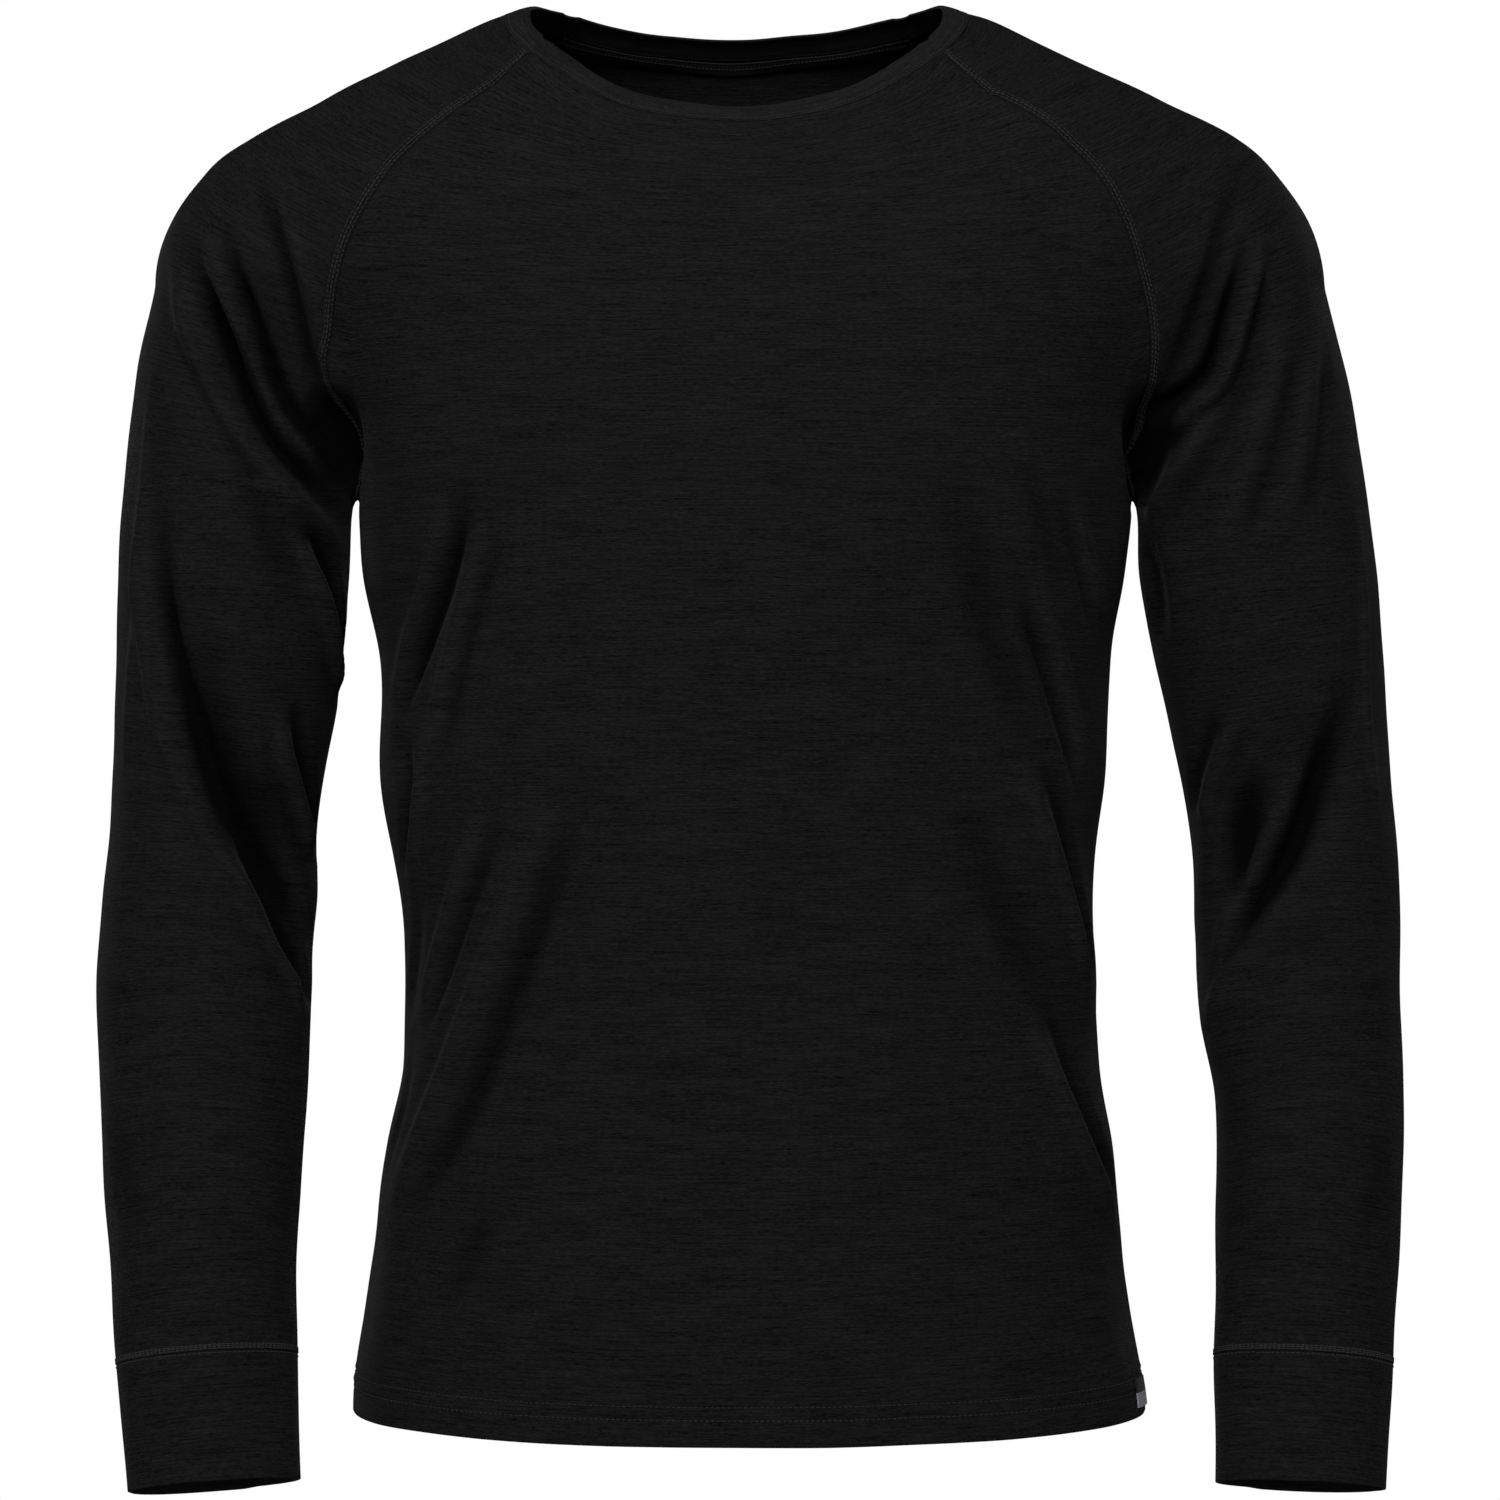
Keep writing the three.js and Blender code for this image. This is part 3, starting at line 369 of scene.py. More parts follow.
torso_at = levels_of(TORSO)
arm_at = {name: levels_of(ARMS[name]) for name in ARMS}
join_at = levels_of(JOIN)


def torso_level(z):
    right, left, front, back, _ = torso_at(z)
    return (left - right) / 2, (front + back) / 2, (left + right) / 2, (back - front) / 2


# 1 on the form, less inside, more outside, and its slopes across and along the level
def torso_ratio(p, z):
    right, left, front, back, power = torso_at(z)
    u = (p[..., 0] - (left - right) / 2) * 2 / (left + right)
    v = (p[..., 1] - (front + back) / 2) * 2 / (back - front)
    ratio = (np.abs(u) ** power + np.abs(v) ** power) ** (1 / power)
    safe = np.maximum(ratio, 1e-6)
    slope_x = (np.abs(u) / safe) ** (power - 1) * 2 / (left + right)
    slope_y = (np.abs(v) / safe) ** (power - 1) * 2 / (back - front)
    return ratio, slope_x, slope_y


def arm_ratio(name):
    dome_base = ARMS[name]["rows"][0][0]

    def ratio(p, z):
        x, y, width, depth = arm_at[name](z)
        u = (p[..., 0] - x) / width
        v = (p[..., 1] - y) / depth
        w = np.maximum(z - dome_base, 0) / DOME_HEIGHT
        whole = np.sqrt(u * u + v * v + w * w)
        safe = np.maximum(whole, 1e-6)
        return whole, u / safe / width, v / safe / depth

    return ratio


RATIOS = [torso_ratio, arm_ratio("right"), arm_ratio("left")]


def slope_of(field, p, step):
    columns = []
    for axis in range(3):
        shift = np.zeros(3)
        shift[axis] = step
        columns.append((field(p + shift) - field(p - shift)) / (2 * step))
    return np.stack(columns, axis=-1)


# Rough distances out of the torso and the two arms, negative inside
def part_distances(p):
    z = p[..., 2]
    distances = []
    for ratio in RATIOS:
        value, slope_x, slope_y = ratio(p, z)
        slope_z = (ratio(p, z + 1)[0] - ratio(p, z - 1)[0]) / 2
        distances.append((value - 1) / np.sqrt(slope_x**2 + slope_y**2 + slope_z**2))
    return distances


def soft_least(a, b, radius):
    shared = np.maximum(radius - np.abs(a - b), 0) / radius
    return np.minimum(a, b) - shared * shared * radius / 4


# Rough distance out of the whole form
def form(p):
    radius = join_at(p[..., 2])[0]
    body, right, left = part_distances(p)
    return soft_least(soft_least(body, right, radius), left, radius)


def outward(p):
    return unit(slope_of(form, p, 0.5))


def settle(p, rounds=6):
    p = np.array(p, float)
    for _ in range(rounds):
        slope = slope_of(form, p, 0.5)
        p = p - slope * (form(p) / np.sum(slope * slope, axis=-1))[..., None]
    return p


# The points of the form that show at rows of x, z from the front or the back.
# A point beyond the outline takes the nearest one on it.
def seen_points(line, face):
    line = np.array(line, float)
    depths = np.arange(200, -101, -2.0)
    tries = np.stack(np.broadcast_arrays(line[:, None, 0], face * depths[None, :], line[:, None, 1]), axis=-1)
    distance = form(tries)
    inside = distance <= 0
    hit = inside.any(axis=1)
    near = depths[np.where(hit, inside.argmax(axis=1), distance.argmin(axis=1))]
    far = near + np.where(hit, 2, 0)
    for _ in range(16):
        middle = (far + near) / 2
        out = form(np.stack([line[:, 0], face * middle, line[:, 1]], axis=-1)) > 0
        far = np.where(out, middle, far)
        near = np.where(out, near, middle)
    return settle(np.stack([line[:, 0], face * far, line[:, 1]], axis=-1), 3)


def travelled(points):
    return np.concatenate([[0], np.cumsum(np.linalg.norm(np.diff(points, axis=0), axis=-1))])


def at_lengths(points, lengths):
    way = travelled(points)
    return np.stack([np.interp(lengths, way, points[:, k]) for k in range(points.shape[1])], axis=-1)


# A smooth line through points, with even steps along its length
def even_line(points, steps):
    points = np.array(points, float)
    places = np.arange(len(points), dtype=float)
    slopes = slopes_of(points, places[:, None])
    t = np.arange(0, len(points) - 1, 1 / 16)
    i = t.astype(int)
    part = (t - i)[:, None]
    dense = hermite(points[i], points[i + 1], slopes[i], slopes[i + 1], part)
    dense = np.concatenate([dense, points[-1:]])
    return at_lengths(dense, np.linspace(0, travelled(dense)[-1], steps + 1))


FOLD_STEPS = 12


def fold_of(columns, row):
    fold = {"ridge": 0, "ends": True, **dict(zip(columns, row))}
    points = seen_points(even_line(fold["line"], FOLD_STEPS), fold["face"])
    if fold["ridge"]:
        spans = unit(np.diff(points, axis=0))
        across = unit(np.cross(spans, outward((points[1:] + points[:-1]) / 2)))
        # The ridge stays on one side all along, also where the line turns out of sight
        fold["across"] = across * np.sign(across[0, 0]) * fold["ridge"]
    fold["points"] = points
    return fold


folds = [fold_of(FOLD_COLUMNS, row) for row in FOLDS] + [fold_of(CREASE_COLUMNS, row) for row in CREASES]


# How far one fold lifts the cloth at p, fading to its reach and to both ends
def add_fold(fold, p, distances, heights):
    points, reach = fold["points"], fold["reach"]
    low = points.min(axis=0) - reach
    high = points.max(axis=0) + reach
    near = np.nonzero(np.all((p > low) & (p < high), axis=-1))[0]
    if not len(near):
        return
    q = p[near]
    best = np.full(len(near), np.inf)
    along = np.zeros(len(near))
    signed = np.zeros(len(near))
    for i in range(len(points) - 1):
        span = points[i + 1] - points[i]
        t = np.clip((q - points[i]) @ span / (span @ span), 0, 1)
        off = q - points[i] - t[:, None] * span
        away = np.linalg.norm(off, axis=-1)
        closer = away < best
        best = np.where(closer, away, best)
        along = np.where(closer, (i + t) / (len(points) - 1), along)
        if fold["ridge"]:
            signed = np.where(closer, off @ fold["across"][i], signed)
    profile = np.clip(1 - (best / reach) ** 2, 0, 1) ** 2
    if fold["ridge"]:
        # An even slope through the line, highest 0.45 of the reach to its ridge side
        profile = profile * 3.5 * np.clip(signed / reach, -1, 1)
    if fold["ends"]:
        if fold["ridge"]:
            window = smooth(along / RIDGE_START) * smooth((1 - along) / RIDGE_END)
        else:
            window = np.sin(np.pi * along)
        profile = profile * window
    if fold["part"] is not None:
        own = distances[fold["part"]][near] - np.min(distances, axis=0)[near]
        profile = profile * (1 - smooth((own - 2) / 8))
    heights[near] += fold["height"] * profile


ripple_ways = unit(rng.normal(size=(RIPPLES["count"], 3)) * [1.0, 1.0, 0.55])
ripple_sizes = rng.uniform(RIPPLES["shortest"], RIPPLES["longest"], RIPPLES["count"])
ripple_starts = rng.uniform(0, 2 * np.pi, RIPPLES["count"])


def ripple(p):
    total = np.zeros(len(p))
    for way, size, start in zip(ripple_ways, ripple_sizes, ripple_starts):
        total += RIPPLES["height"] * (size / 60) * np.sin(2 * np.pi * (p @ way) / size + start)
    return total


def fold_heights(p):
    distances = np.array(part_distances(p))
    heights = ripple(p)
    for fold in folds:
        add_fold(fold, p, distances, heights)
    return heights


def folded(p):
    return p + outward(p) * fold_heights(p)[:, None]


# How far the finer folds sink below the cloth around them, for the painted shade in their creases and the
# painted light on their ridges
def depths_for_painted_shade(grid):
    p = grid.reshape(-1, 3)
    distances = np.array(part_distances(p))
    heights = np.zeros(len(p))
    for fold in folds:
        if fold["reach"] < 24 and fold["ends"]:
            add_fold(fold, p, distances, heights)
    return heights.reshape(grid.shape[:-1])


# The cloth's outer points over a grid of points on the form, with their directions outward
def cloth_points(grid):
    p = grid.reshape(-1, 3)
    out = outward(p)
    upright = np.abs(out[:, 2:]) < 0.8
    side = unit(np.cross(out, np.where(upright, [0.0, 0.0, 1.0], [0.0, 1.0, 0.0])))
    up = np.cross(side, out)
    outer = folded(p)
    normal = unit(np.cross(folded(p + 0.7 * up) - outer, folded(p + 0.7 * side) - outer))
    normal = np.where(np.sum(normal * out, axis=-1, keepdims=True) < 0, -normal, normal)
    return outer.reshape(grid.shape), normal.reshape(grid.shape)


# Rows and columns of the pieces
armpit = {name: settle(ARMPIT[name], 8) for name in ARMPIT}
BODY_ROWS = 156
RAGLAN_ROWS = 96
SLEEVE_ROWS = 168
FRONT_COLUMNS = 160
BACK_COLUMNS = 120
SLEEVE_COLUMNS = 140
CUFF_ROWS = 30


def neck_points(degrees):
    angle = np.radians(degrees)
    c, s = np.cos(angle), np.sin(angle)
    y = NECK["y"] + np.where(s < 0, s * NECK["front"], s * NECK["back"])
    dip = np.where(s < 0, NECK["frontDip"] * np.abs(s) ** 1.17, NECK["backDip"] * np.abs(s) ** 1.5)
    return settle(np.stack([NECK["x"] + c * NECK["halfWidth"], y, NECK["top"] - dip], axis=-1), 8)


# Degrees run from the wearer's left shoulder (0) over the back (90) to the right (180) and the front (270)
def neck_arc(start, end, steps):
    return neck_points(np.linspace(start, end, steps + 1))


neck = {
    "front": neck_arc(180 + CORNER["front"], 360 - CORNER["front"], FRONT_COLUMNS),
    "left": neck_arc(-CORNER["front"], CORNER["back"], SLEEVE_COLUMNS),
    "back": neck_arc(CORNER["back"], 180 - CORNER["back"], BACK_COLUMNS),
    "right": neck_arc(180 - CORNER["back"], 180 + CORNER["front"], SLEEVE_COLUMNS),
}


def raglan_seam(name, face, armpit_point, neck_end):
    seen = seen_points(even_line(RAGLAN[name], 40), face)[::-1]
    line = even_line(np.concatenate([[armpit_point], seen, [neck_end]]), RAGLAN_ROWS)
    line[1:-1] = settle(line[1:-1])
    return line


raglan = {
    "rightFront": raglan_seam("rightFront", FRONT, armpit["right"], neck["front"][0]),
    "leftFront": raglan_seam("leftFront", FRONT, armpit["left"], neck["front"][-1]),
    "rightBack": raglan_seam("rightBack", BACK, armpit["right"], neck["back"][-1]),
    "leftBack": raglan_seam("leftBack", BACK, armpit["left"], neck["back"][0]),
}

# The cloth sinks a little along each sewn raglan seam
for seam in raglan.values():
    points = at_lengths(seam, np.linspace(0, travelled(seam)[-1], 25))
    folds.append({"part": None, "height": -0.9, "reach": 6, "points": points, "ends": False, "ridge": 0})


def side_seam(name):
    t = (np.arange(BODY_ROWS) / BODY_ROWS)[:, None]
    end = armpit[name]
    # Closer rows near the hem, where the stitching is
    t = 0.35 * t * t + 0.65 * t
    z = HEM_Z + (end[2] - HEM_Z) * t
    x, _, a, _ = torso_level(z)
    y = SIDE_SEAM_HEM_Y + (end[1] - SIDE_SEAM_HEM_Y) * t
    line = settle(np.concatenate([x + SIGN[name] * a, y, z], axis=1))
    return np.concatenate([line, [end]])


sides = {name: side_seam(name) for name in SIGN}


# A torso panel between two edge lines (hem to neck) and its neckline
def panel_grid(start, end, neckline, columns, face):
    last = len(start) - 1

    def angle_of(p):
        x, y, a, b = torso_level(p[2])
        angle = math.atan2(face * (p[1] - y) / b, (p[0] - x) / a)
        return angle + 2 * math.pi if angle < -math.pi / 2 else angle

    s = np.linspace(0, 1, columns + 1)
    grid = np.zeros((last + 1, columns + 1, 3))
    for row in range(last):
        above = max(row, BODY_ROWS + 1)
        under = start[BODY_ROWS][2] - start[row][2]
        near = 1.0 if row > BODY_ROWS else float(smooth(1 - under / EASE_RISE))
        begin = angle_of(start[row]) + near * (angle_of(start[above]) - angle_of(start[row]))
        finish = angle_of(end[row]) + near * (angle_of(end[above]) - angle_of(end[row]))
        lift = max((row - BODY_ROWS) / RAGLAN_ROWS, 0) ** 2
        drop = max(1 - (start[row][2] - HEM_Z) / HEM_DROP_RISE, 0) * HEM_DROP
        straight = neckline[0][2] + (neckline[-1][2] - neckline[0][2]) * s
        z = start[row][2] + (end[row][2] - start[row][2]) * s
        z = z + lift * (neckline[:, 2] - straight) - drop * np.sin(np.pi * s)
        angle = begin + (finish - begin) * s
        x, y, a, b = torso_level(z)
        grid[row] = np.stack([x + a * np.cos(angle), y + face * b * np.sin(angle), z], axis=-1)
    grid[last] = neckline
    grid[:last, 1:-1] = settle(grid[:last, 1:-1])
    grid[:, 0] = start
    grid[:, -1] = end
    return grid


front_grid = panel_grid(
    np.concatenate([sides["right"][:-1], raglan["rightFront"]]),
    np.concatenate([sides["left"][:-1], raglan["leftFront"]]),
    neck["front"],
    FRONT_COLUMNS,
    FRONT,
)
back_grid = panel_grid(
    np.concatenate([sides["left"][:-1], raglan["leftBack"]]),
    np.concatenate([sides["right"][:-1], raglan["rightBack"]]),
    neck["back"],
    BACK_COLUMNS,
    BACK,
)


# One ring of a sleeve or cuff square to the arm at height z, from the inner arm over the front
def arm_ring(name, z, columns):
    x, y, width, depth = arm_at[name](z)
    above, below = arm_at[name](z + 5), arm_at[name](z - 5)
    square = float(smooth((armpit[name][2] - z) / 70))
    lean_x = square * (above[0] - below[0]) / 10
    lean_y = square * (above[1] - below[1]) / 10
    turn = 2 * np.pi * np.arange(columns) / columns
    dx = -SIGN[name] * width * np.cos(turn)
    dy = -depth * np.sin(turn)
    ring = np.stack([x + dx, y + dy, z - dx * lean_x - dy * lean_y], axis=-1)
    return np.concatenate([ring, ring[:1]])


# One open arc of a sleeve from the front raglan seam over the shoulder line to the back seam
def cap_arc(front, top, back, columns):
    middle = (front + back) / 2
    out = unit(top - middle)
    chord = back - front
    across = unit(chord - out * (chord @ out))
    front_out, front_across = (front - middle) @ out, (front - middle) @ across
    back_out, back_across = (back - middle) @ out, (back - middle) @ across
    reach = np.linalg.norm(top - middle)
    half_chord = (back_across - front_across) / 2
    centre = (reach**2 - half_chord**2) / (2 * reach)
    radius = reach - centre
    begin = math.atan2(front_across, front_out - centre)
    finish = math.atan2(back_across, back_out - centre)
    turn = np.linspace(begin, finish, columns + 1)[:, None]
    return middle + out * (centre + radius * np.cos(turn)) + across * radius * np.sin(turn)


def sleeve_grid(name):
    t = np.linspace(0, 1, SLEEVE_ROWS + 1)
    heights = CUFF_SEAM_Z + (armpit[name][2] - CUFF_SEAM_Z) * t
    rings = [arm_ring(name, z, SLEEVE_COLUMNS) for z in heights]
    tops = even_line([[x, 4, z] for x, z in SHOULDER_LINE[name]], RAGLAN_ROWS)
    tops = settle(tops)
    front = raglan[f"{name}Front"]
    back = raglan[f"{name}Back"]
    caps = [cap_arc(front[i], tops[i], back[i], SLEEVE_COLUMNS) for i in range(1, RAGLAN_ROWS)]
    grid = settle(np.array(rings + caps))
    grid[: SLEEVE_ROWS + 1, -1] = grid[: SLEEVE_ROWS + 1, 0]
    grid[SLEEVE_ROWS, [0, -1]] = armpit[name]
    grid[SLEEVE_ROWS + 1 :, 0] = front[1:-1]
    grid[SLEEVE_ROWS + 1 :, -1] = back[1:-1]
    neck_edge = neck["left"] if name == "left" else neck["right"][::-1]
    return np.concatenate([grid, [neck_edge]])


def cuff_grid(name):
    heights = np.linspace(CUFF_END_Z, CUFF_SEAM_Z, CUFF_ROWS + 1)
    return settle(np.array([arm_ring(name, z, SLEEVE_COLUMNS) for z in heights]))


# Distances across and up a grid, in millimetres, as it would lie flat
def flat_places(grid):
    across = np.linalg.norm(np.diff(grid, axis=1), axis=-1)
    u = np.concatenate([np.zeros((len(grid), 1)), np.cumsum(across, axis=1)], axis=1)
    u = u - u[:, -1:] / 2
    rise = np.linalg.norm(np.diff(grid, axis=0), axis=-1).mean(axis=1)
    v = np.concatenate([[0], np.cumsum(rise)])
    return np.stack([u, np.broadcast_to(v[:, None], u.shape)], axis=-1)


# Draws the edges back by half the seam gap. `tube` rows are closed rings.
def draw_back(outer, tube):
    shift = np.zeros_like(outer)
    columns = outer.shape[1] - 1

    def push(rows, cols, targets, before, after):
        along = unit(outer[after] - outer[before])
        inward = outer[targets] - outer[rows, cols]
        square = unit(inward - along * np.sum(inward * along, axis=-1, keepdims=True))
        shift[rows, cols] += square * SEAM_GAP / 2

    last = len(outer) - 1
    j = np.arange(columns + 1)
    for row, inner in ((0, 1), (last, last - 1)):
        if row < tube:
            before, after = (j - 1) % columns, (j + 1) % columns
        else:
            before, after = np.maximum(j - 1, 0), np.minimum(j + 1, columns)
        push(row, j, (inner, j), (row, before), (row, after))
    i = np.arange(tube, last + 1)
    if len(i):
        below, above = np.maximum(i - 1, tube), np.minimum(i + 1, last)
        push(i, 0, (i, 1), (below, 0), (above, 0))
        push(i, columns, (i, columns - 1), (below, columns), (above, columns))
    return shift


# Mesh of a closed shell: outer rows from the first edge up, inner rows back down, and `rounds`,
# rows of points that round off the first edge. `tube` rows are closed rings.
def shell_mesh(name, outer, inner, places, tube=0, rounds=(), materials=(), depths=None):
    rows, count = outer.shape[:2]
    layers = list(outer) + list(inner[::-1]) + list(rounds)
    flat = list(places) + list(places[::-1]) + [places[0]] * len(rounds)
    ids = np.arange(len(layers) * count).reshape(len(layers), count)
    positions = np.concatenate(layers)
    uvs = np.concatenate(flat)
    merged = ids.copy()
    ring = [k for k in range(len(layers)) if k < tube or 2 * rows - tube <= k]
    merged[ring, -1] = ids[ring, 0]
    quads = []
    for k in range(len(layers)):
        a, b = ids[k], ids[(k + 1) % len(layers)]
        quads.append(np.stack([a[:-1], a[1:], b[1:], b[:-1]], axis=-1))
    for i in range(max(tube - 1, 0), rows - 1):
        o, n = ids[i], ids[i + 1]
        back_n, back_o = ids[2 * rows - 2 - i], ids[2 * rows - 1 - i]
        if tube == rows:
            continue
        quads.append(np.array([[o[0], n[0], back_n[0], back_o[0]]]))
        quads.append(np.array([[o[-1], back_o[-1], back_n[-1], n[-1]]]))
    faces = [list(face) for face in np.concatenate(quads)]
    if len(rounds) and tube == 0:
        ends = [ids[k] for k in range(2 * rows - 1, len(layers))] + [ids[0]]
        faces.append([end[0] for end in ends])
        faces.append([end[-1] for end in ends][::-1])
    piece = build_mesh(name, positions, faces, merged.ravel(), uvs, materials)
    # The finer folds' depths go on the mesh as an attribute for the painted shade and painted light in the
    # cloth's colour
    if depths is not None:
        none = np.zeros(count * rows)
        values = np.concatenate([depths.ravel(), none, np.zeros(count * len(rounds))])
        layer = piece.data.attributes.new("painted_shade_depth", "FLOAT", "POINT")
        layer.data.foreach_set("value", values[np.unique(merged.ravel())].astype(np.float32))
    return piece


def build_mesh(name, positions, faces, merged=None, uvs=None, materials=(), sharp=50):
    corners = np.concatenate([np.asarray(face) for face in faces])
    vertices = corners if merged is None else merged[corners]
    used, compact = np.unique(vertices, return_inverse=True)
    sizes = np.array([len(face) for face in faces])
    starts = np.concatenate([[0], np.cumsum(sizes)])
    # The whole shell is turned right side out by its signed volume
    points = positions[used]
    volume = 0.0
    for k in range(1, int(sizes.max()) - 1):
        has = sizes > k + 1
        a, b, c = (points[compact[starts[:-1][has] + step]] for step in (0, k, k + 1))
        volume += float(np.sum(a * np.cross(b, c)))
    order = np.arange(len(compact))
    if volume < 0:
        order = np.concatenate([np.arange(starts[i + 1] - 1, starts[i] - 1, -1) for i in range(len(faces))])
    compact = compact[order]
    mesh = bpy.data.meshes.new(name)
    lists = [compact[starts[i] : starts[i + 1]].tolist() for i in range(len(faces))]
    mesh.from_pydata((points * MM).tolist(), [], lists)
    if uvs is not None:
        layer = mesh.uv_layers.new(name="cut")
        layer.data.foreach_set("uv", (uvs[corners[order]] * MM).astype(np.float32).ravel())
    for material in materials:
        mesh.materials.append(material)
    mesh.shade_smooth()
    mesh.set_sharp_from_angle(angle=math.radians(sharp))
    mesh.update()
    item = bpy.data.objects.new(name, mesh)
    bpy.context.scene.collection.objects.link(item)
    return item


def add_to_top(piece, node):
    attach(piece, "root")
    if node:
        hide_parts(node)


# Materials


class Nodes:
    def __init__(self, tree):
        self.tree = tree

    def add(self, kind, settings=None, **inputs):
        node = self.tree.nodes.new(kind)
        for name, value in (settings or {}).items():
            setattr(node, name, value)
        for name, value in inputs.items():
            self.put(node.inputs[name.replace("_", " ")], value)
        return node

    def put(self, socket, value):
        if isinstance(value, bpy.types.NodeSocket):
            self.tree.links.new(value, socket)
        else:
            socket.default_value = value

    def math(self, operation, a, b=0.0, c=0.0):
        node = self.tree.nodes.new("ShaderNodeMath")
        node.operation = operation
        self.put(node.inputs[0], a)
        self.put(node.inputs[1], b)
        self.put(node.inputs[2], c)
        return node.outputs[0]

    # Noise over the flat cloth, with features of the given width and height in millimetres
    def streaks(self, coordinates, width, height, detail=2.0):
        scale = self.add("ShaderNodeMapping", Vector=coordinates, Scale=(1000 / width, 1000 / height, 1))
        noise = self.add(
            "ShaderNodeTexNoise",
            Vector=scale.outputs[0],
            Scale=1.0,
            Detail=detail,
            Roughness=0.55,
        )
        return noise.outputs["Fac"]

    def ramp(self, factor, stops):
        node = self.add("ShaderNodeValToRGB")
        self.put(node.inputs[0], factor)
        elements = node.color_ramp.elements
        while len(elements) < len(stops):
            elements.new(0.5)
        for element, (place, colour) in zip(elements, stops):
            element.position = place
            element.color = (*colour, 1)
        return node.outputs[0]


def new_material(name):
    material = bpy.data.materials.new(name)
    material.use_nodes = True
    material.node_tree.nodes.clear()
    return material, Nodes(material.node_tree)


def grey(value, warm=0.0):
    return (value * (1 + warm), value, value * (1 - warm))


# Painted shade: the cloth's colour darkens in the finer creases and lightens on their ridges
PAINTED_CREASE_SHADE = 0.14  # share of colour lost for each millimetre that a crease sinks


# Limits of the painted shade in creases and the painted light on ridges
DARKEST_PAINTED_SHADE, PALEST_PAINTED_LIGHT = 0.22, 1.15


# Fine wool jersey: short uneven streaks along the courses, a fine stitch relief and a soft nap, with painted
# shade darkening its creases and painted light on its ridges
def jersey_material(name, dark, light, nap):
    material, nodes = new_material(name)
    flat = nodes.add("ShaderNodeUVMap", {"uv_map": "cut"}).outputs[0]
    long_streaks = nodes.streaks(flat, 24, 0.95)
    short_streaks = nodes.streaks(flat, 5.5, 0.75)
    flecks = nodes.streaks(flat, 2.4, 0.6, 1.0)
    cloudy = nodes.streaks(flat, 55, 9)
    mixed = nodes.math("MULTIPLY", long_streaks, 0.34)
    mixed = nodes.math("ADD", mixed, nodes.math("MULTIPLY", short_streaks, 0.28))
    mixed = nodes.math("ADD", mixed, nodes.math("MULTIPLY", flecks, 0.3))
    mixed = nodes.math("ADD", mixed, nodes.math("MULTIPLY", cloudy, 0.11))
    middle = (dark + light) / 2
    stops = [(0.36, grey(dark)), (0.52, grey(middle, 0.01)), (0.68, grey(light, 0.02))]
    heather = nodes.ramp(mixed, stops)
    # Painted shade and light: the colour is scaled down by the depth of each crease and up on the ridges
    painted_shade_depth = nodes.add("ShaderNodeAttribute", {"attribute_name": "painted_shade_depth"}).outputs["Fac"]
    shade = nodes.math("MULTIPLY_ADD", painted_shade_depth, PAINTED_CREASE_SHADE, 1.0)
    shade = nodes.math("MINIMUM", nodes.math("MAXIMUM", shade, DARKEST_PAINTED_SHADE), PALEST_PAINTED_LIGHT)
    colour = nodes.add("ShaderNodeVectorMath", {"operation": "SCALE"}, Vector=heather, Scale=shade).outputs[0]
    split = nodes.add("ShaderNodeSeparateXYZ", Vector=flat)
    wales = nodes.math("SINE", nodes.math("MULTIPLY", split.outputs[0], 2 * math.pi / 0.00105))
    courses = nodes.math("SINE", nodes.math("MULTIPLY", split.outputs[1], 2 * math.pi / 0.0008))
    uneven = nodes.math("MULTIPLY_ADD", courses, 0.4, 1.0)
    loops = nodes.math("MULTIPLY", nodes.math("ABSOLUTE", wales), uneven)
    relief = nodes.math("ADD", nodes.math("MULTIPLY", loops, 0.35), nodes.math("MULTIPLY", mixed, 1.1))
    bump = nodes.add("ShaderNodeBump", Strength=0.55, Distance=0.0004, Height=relief)
    rough = nodes.math("ADD", nodes.math("MULTIPLY", mixed, 0.2), 0.78)
    shader = nodes.add(
        "ShaderNodeBsdfPrincipled",
        Base_Color=colour,
        Roughness=rough,
        Normal=bump.outputs[0],
        Sheen_Weight=nap,
        Sheen_Roughness=0.24,
        Sheen_Tint=(0.62, 0.62, 0.64, 1),
        Specular_IOR_Level=0.012,
    )
    nodes.add("ShaderNodeOutputMaterial", Surface=shader.outputs[0])
    return material


# Spun polyester thread, or a woven tape: fine ribs across
def woven_material(name, colour, roughness, rib, specular=0.3):
    material, nodes = new_material(name)
    place = nodes.add("ShaderNodeTexCoord").outputs["Object"]
    noise = nodes.add("ShaderNodeTexNoise", Vector=place, Scale=1000 / rib, Detail=2.0, Roughness=0.6)
    low = tuple(0.6 * c for c in colour)
    high = tuple(1.35 * c for c in colour)
    shade = nodes.ramp(noise.outputs["Fac"], [(0.3, low), (0.5, colour), (0.7, high)])
    rough = nodes.math("ADD", nodes.math("MULTIPLY", noise.outputs["Fac"], 0.25), roughness - 0.12)
    bump = nodes.add("ShaderNodeBump", Strength=0.5, Distance=0.0002, Height=noise.outputs["Fac"])
    shader = nodes.add(
        "ShaderNodeBsdfPrincipled",
        Base_Color=shade,
        Roughness=rough,
        Normal=bump.outputs[0],
        Sheen_Weight=0.01,
        Specular_IOR_Level=specular,
    )
    nodes.add("ShaderNodeOutputMaterial", Surface=shader.outputs[0])
    return material


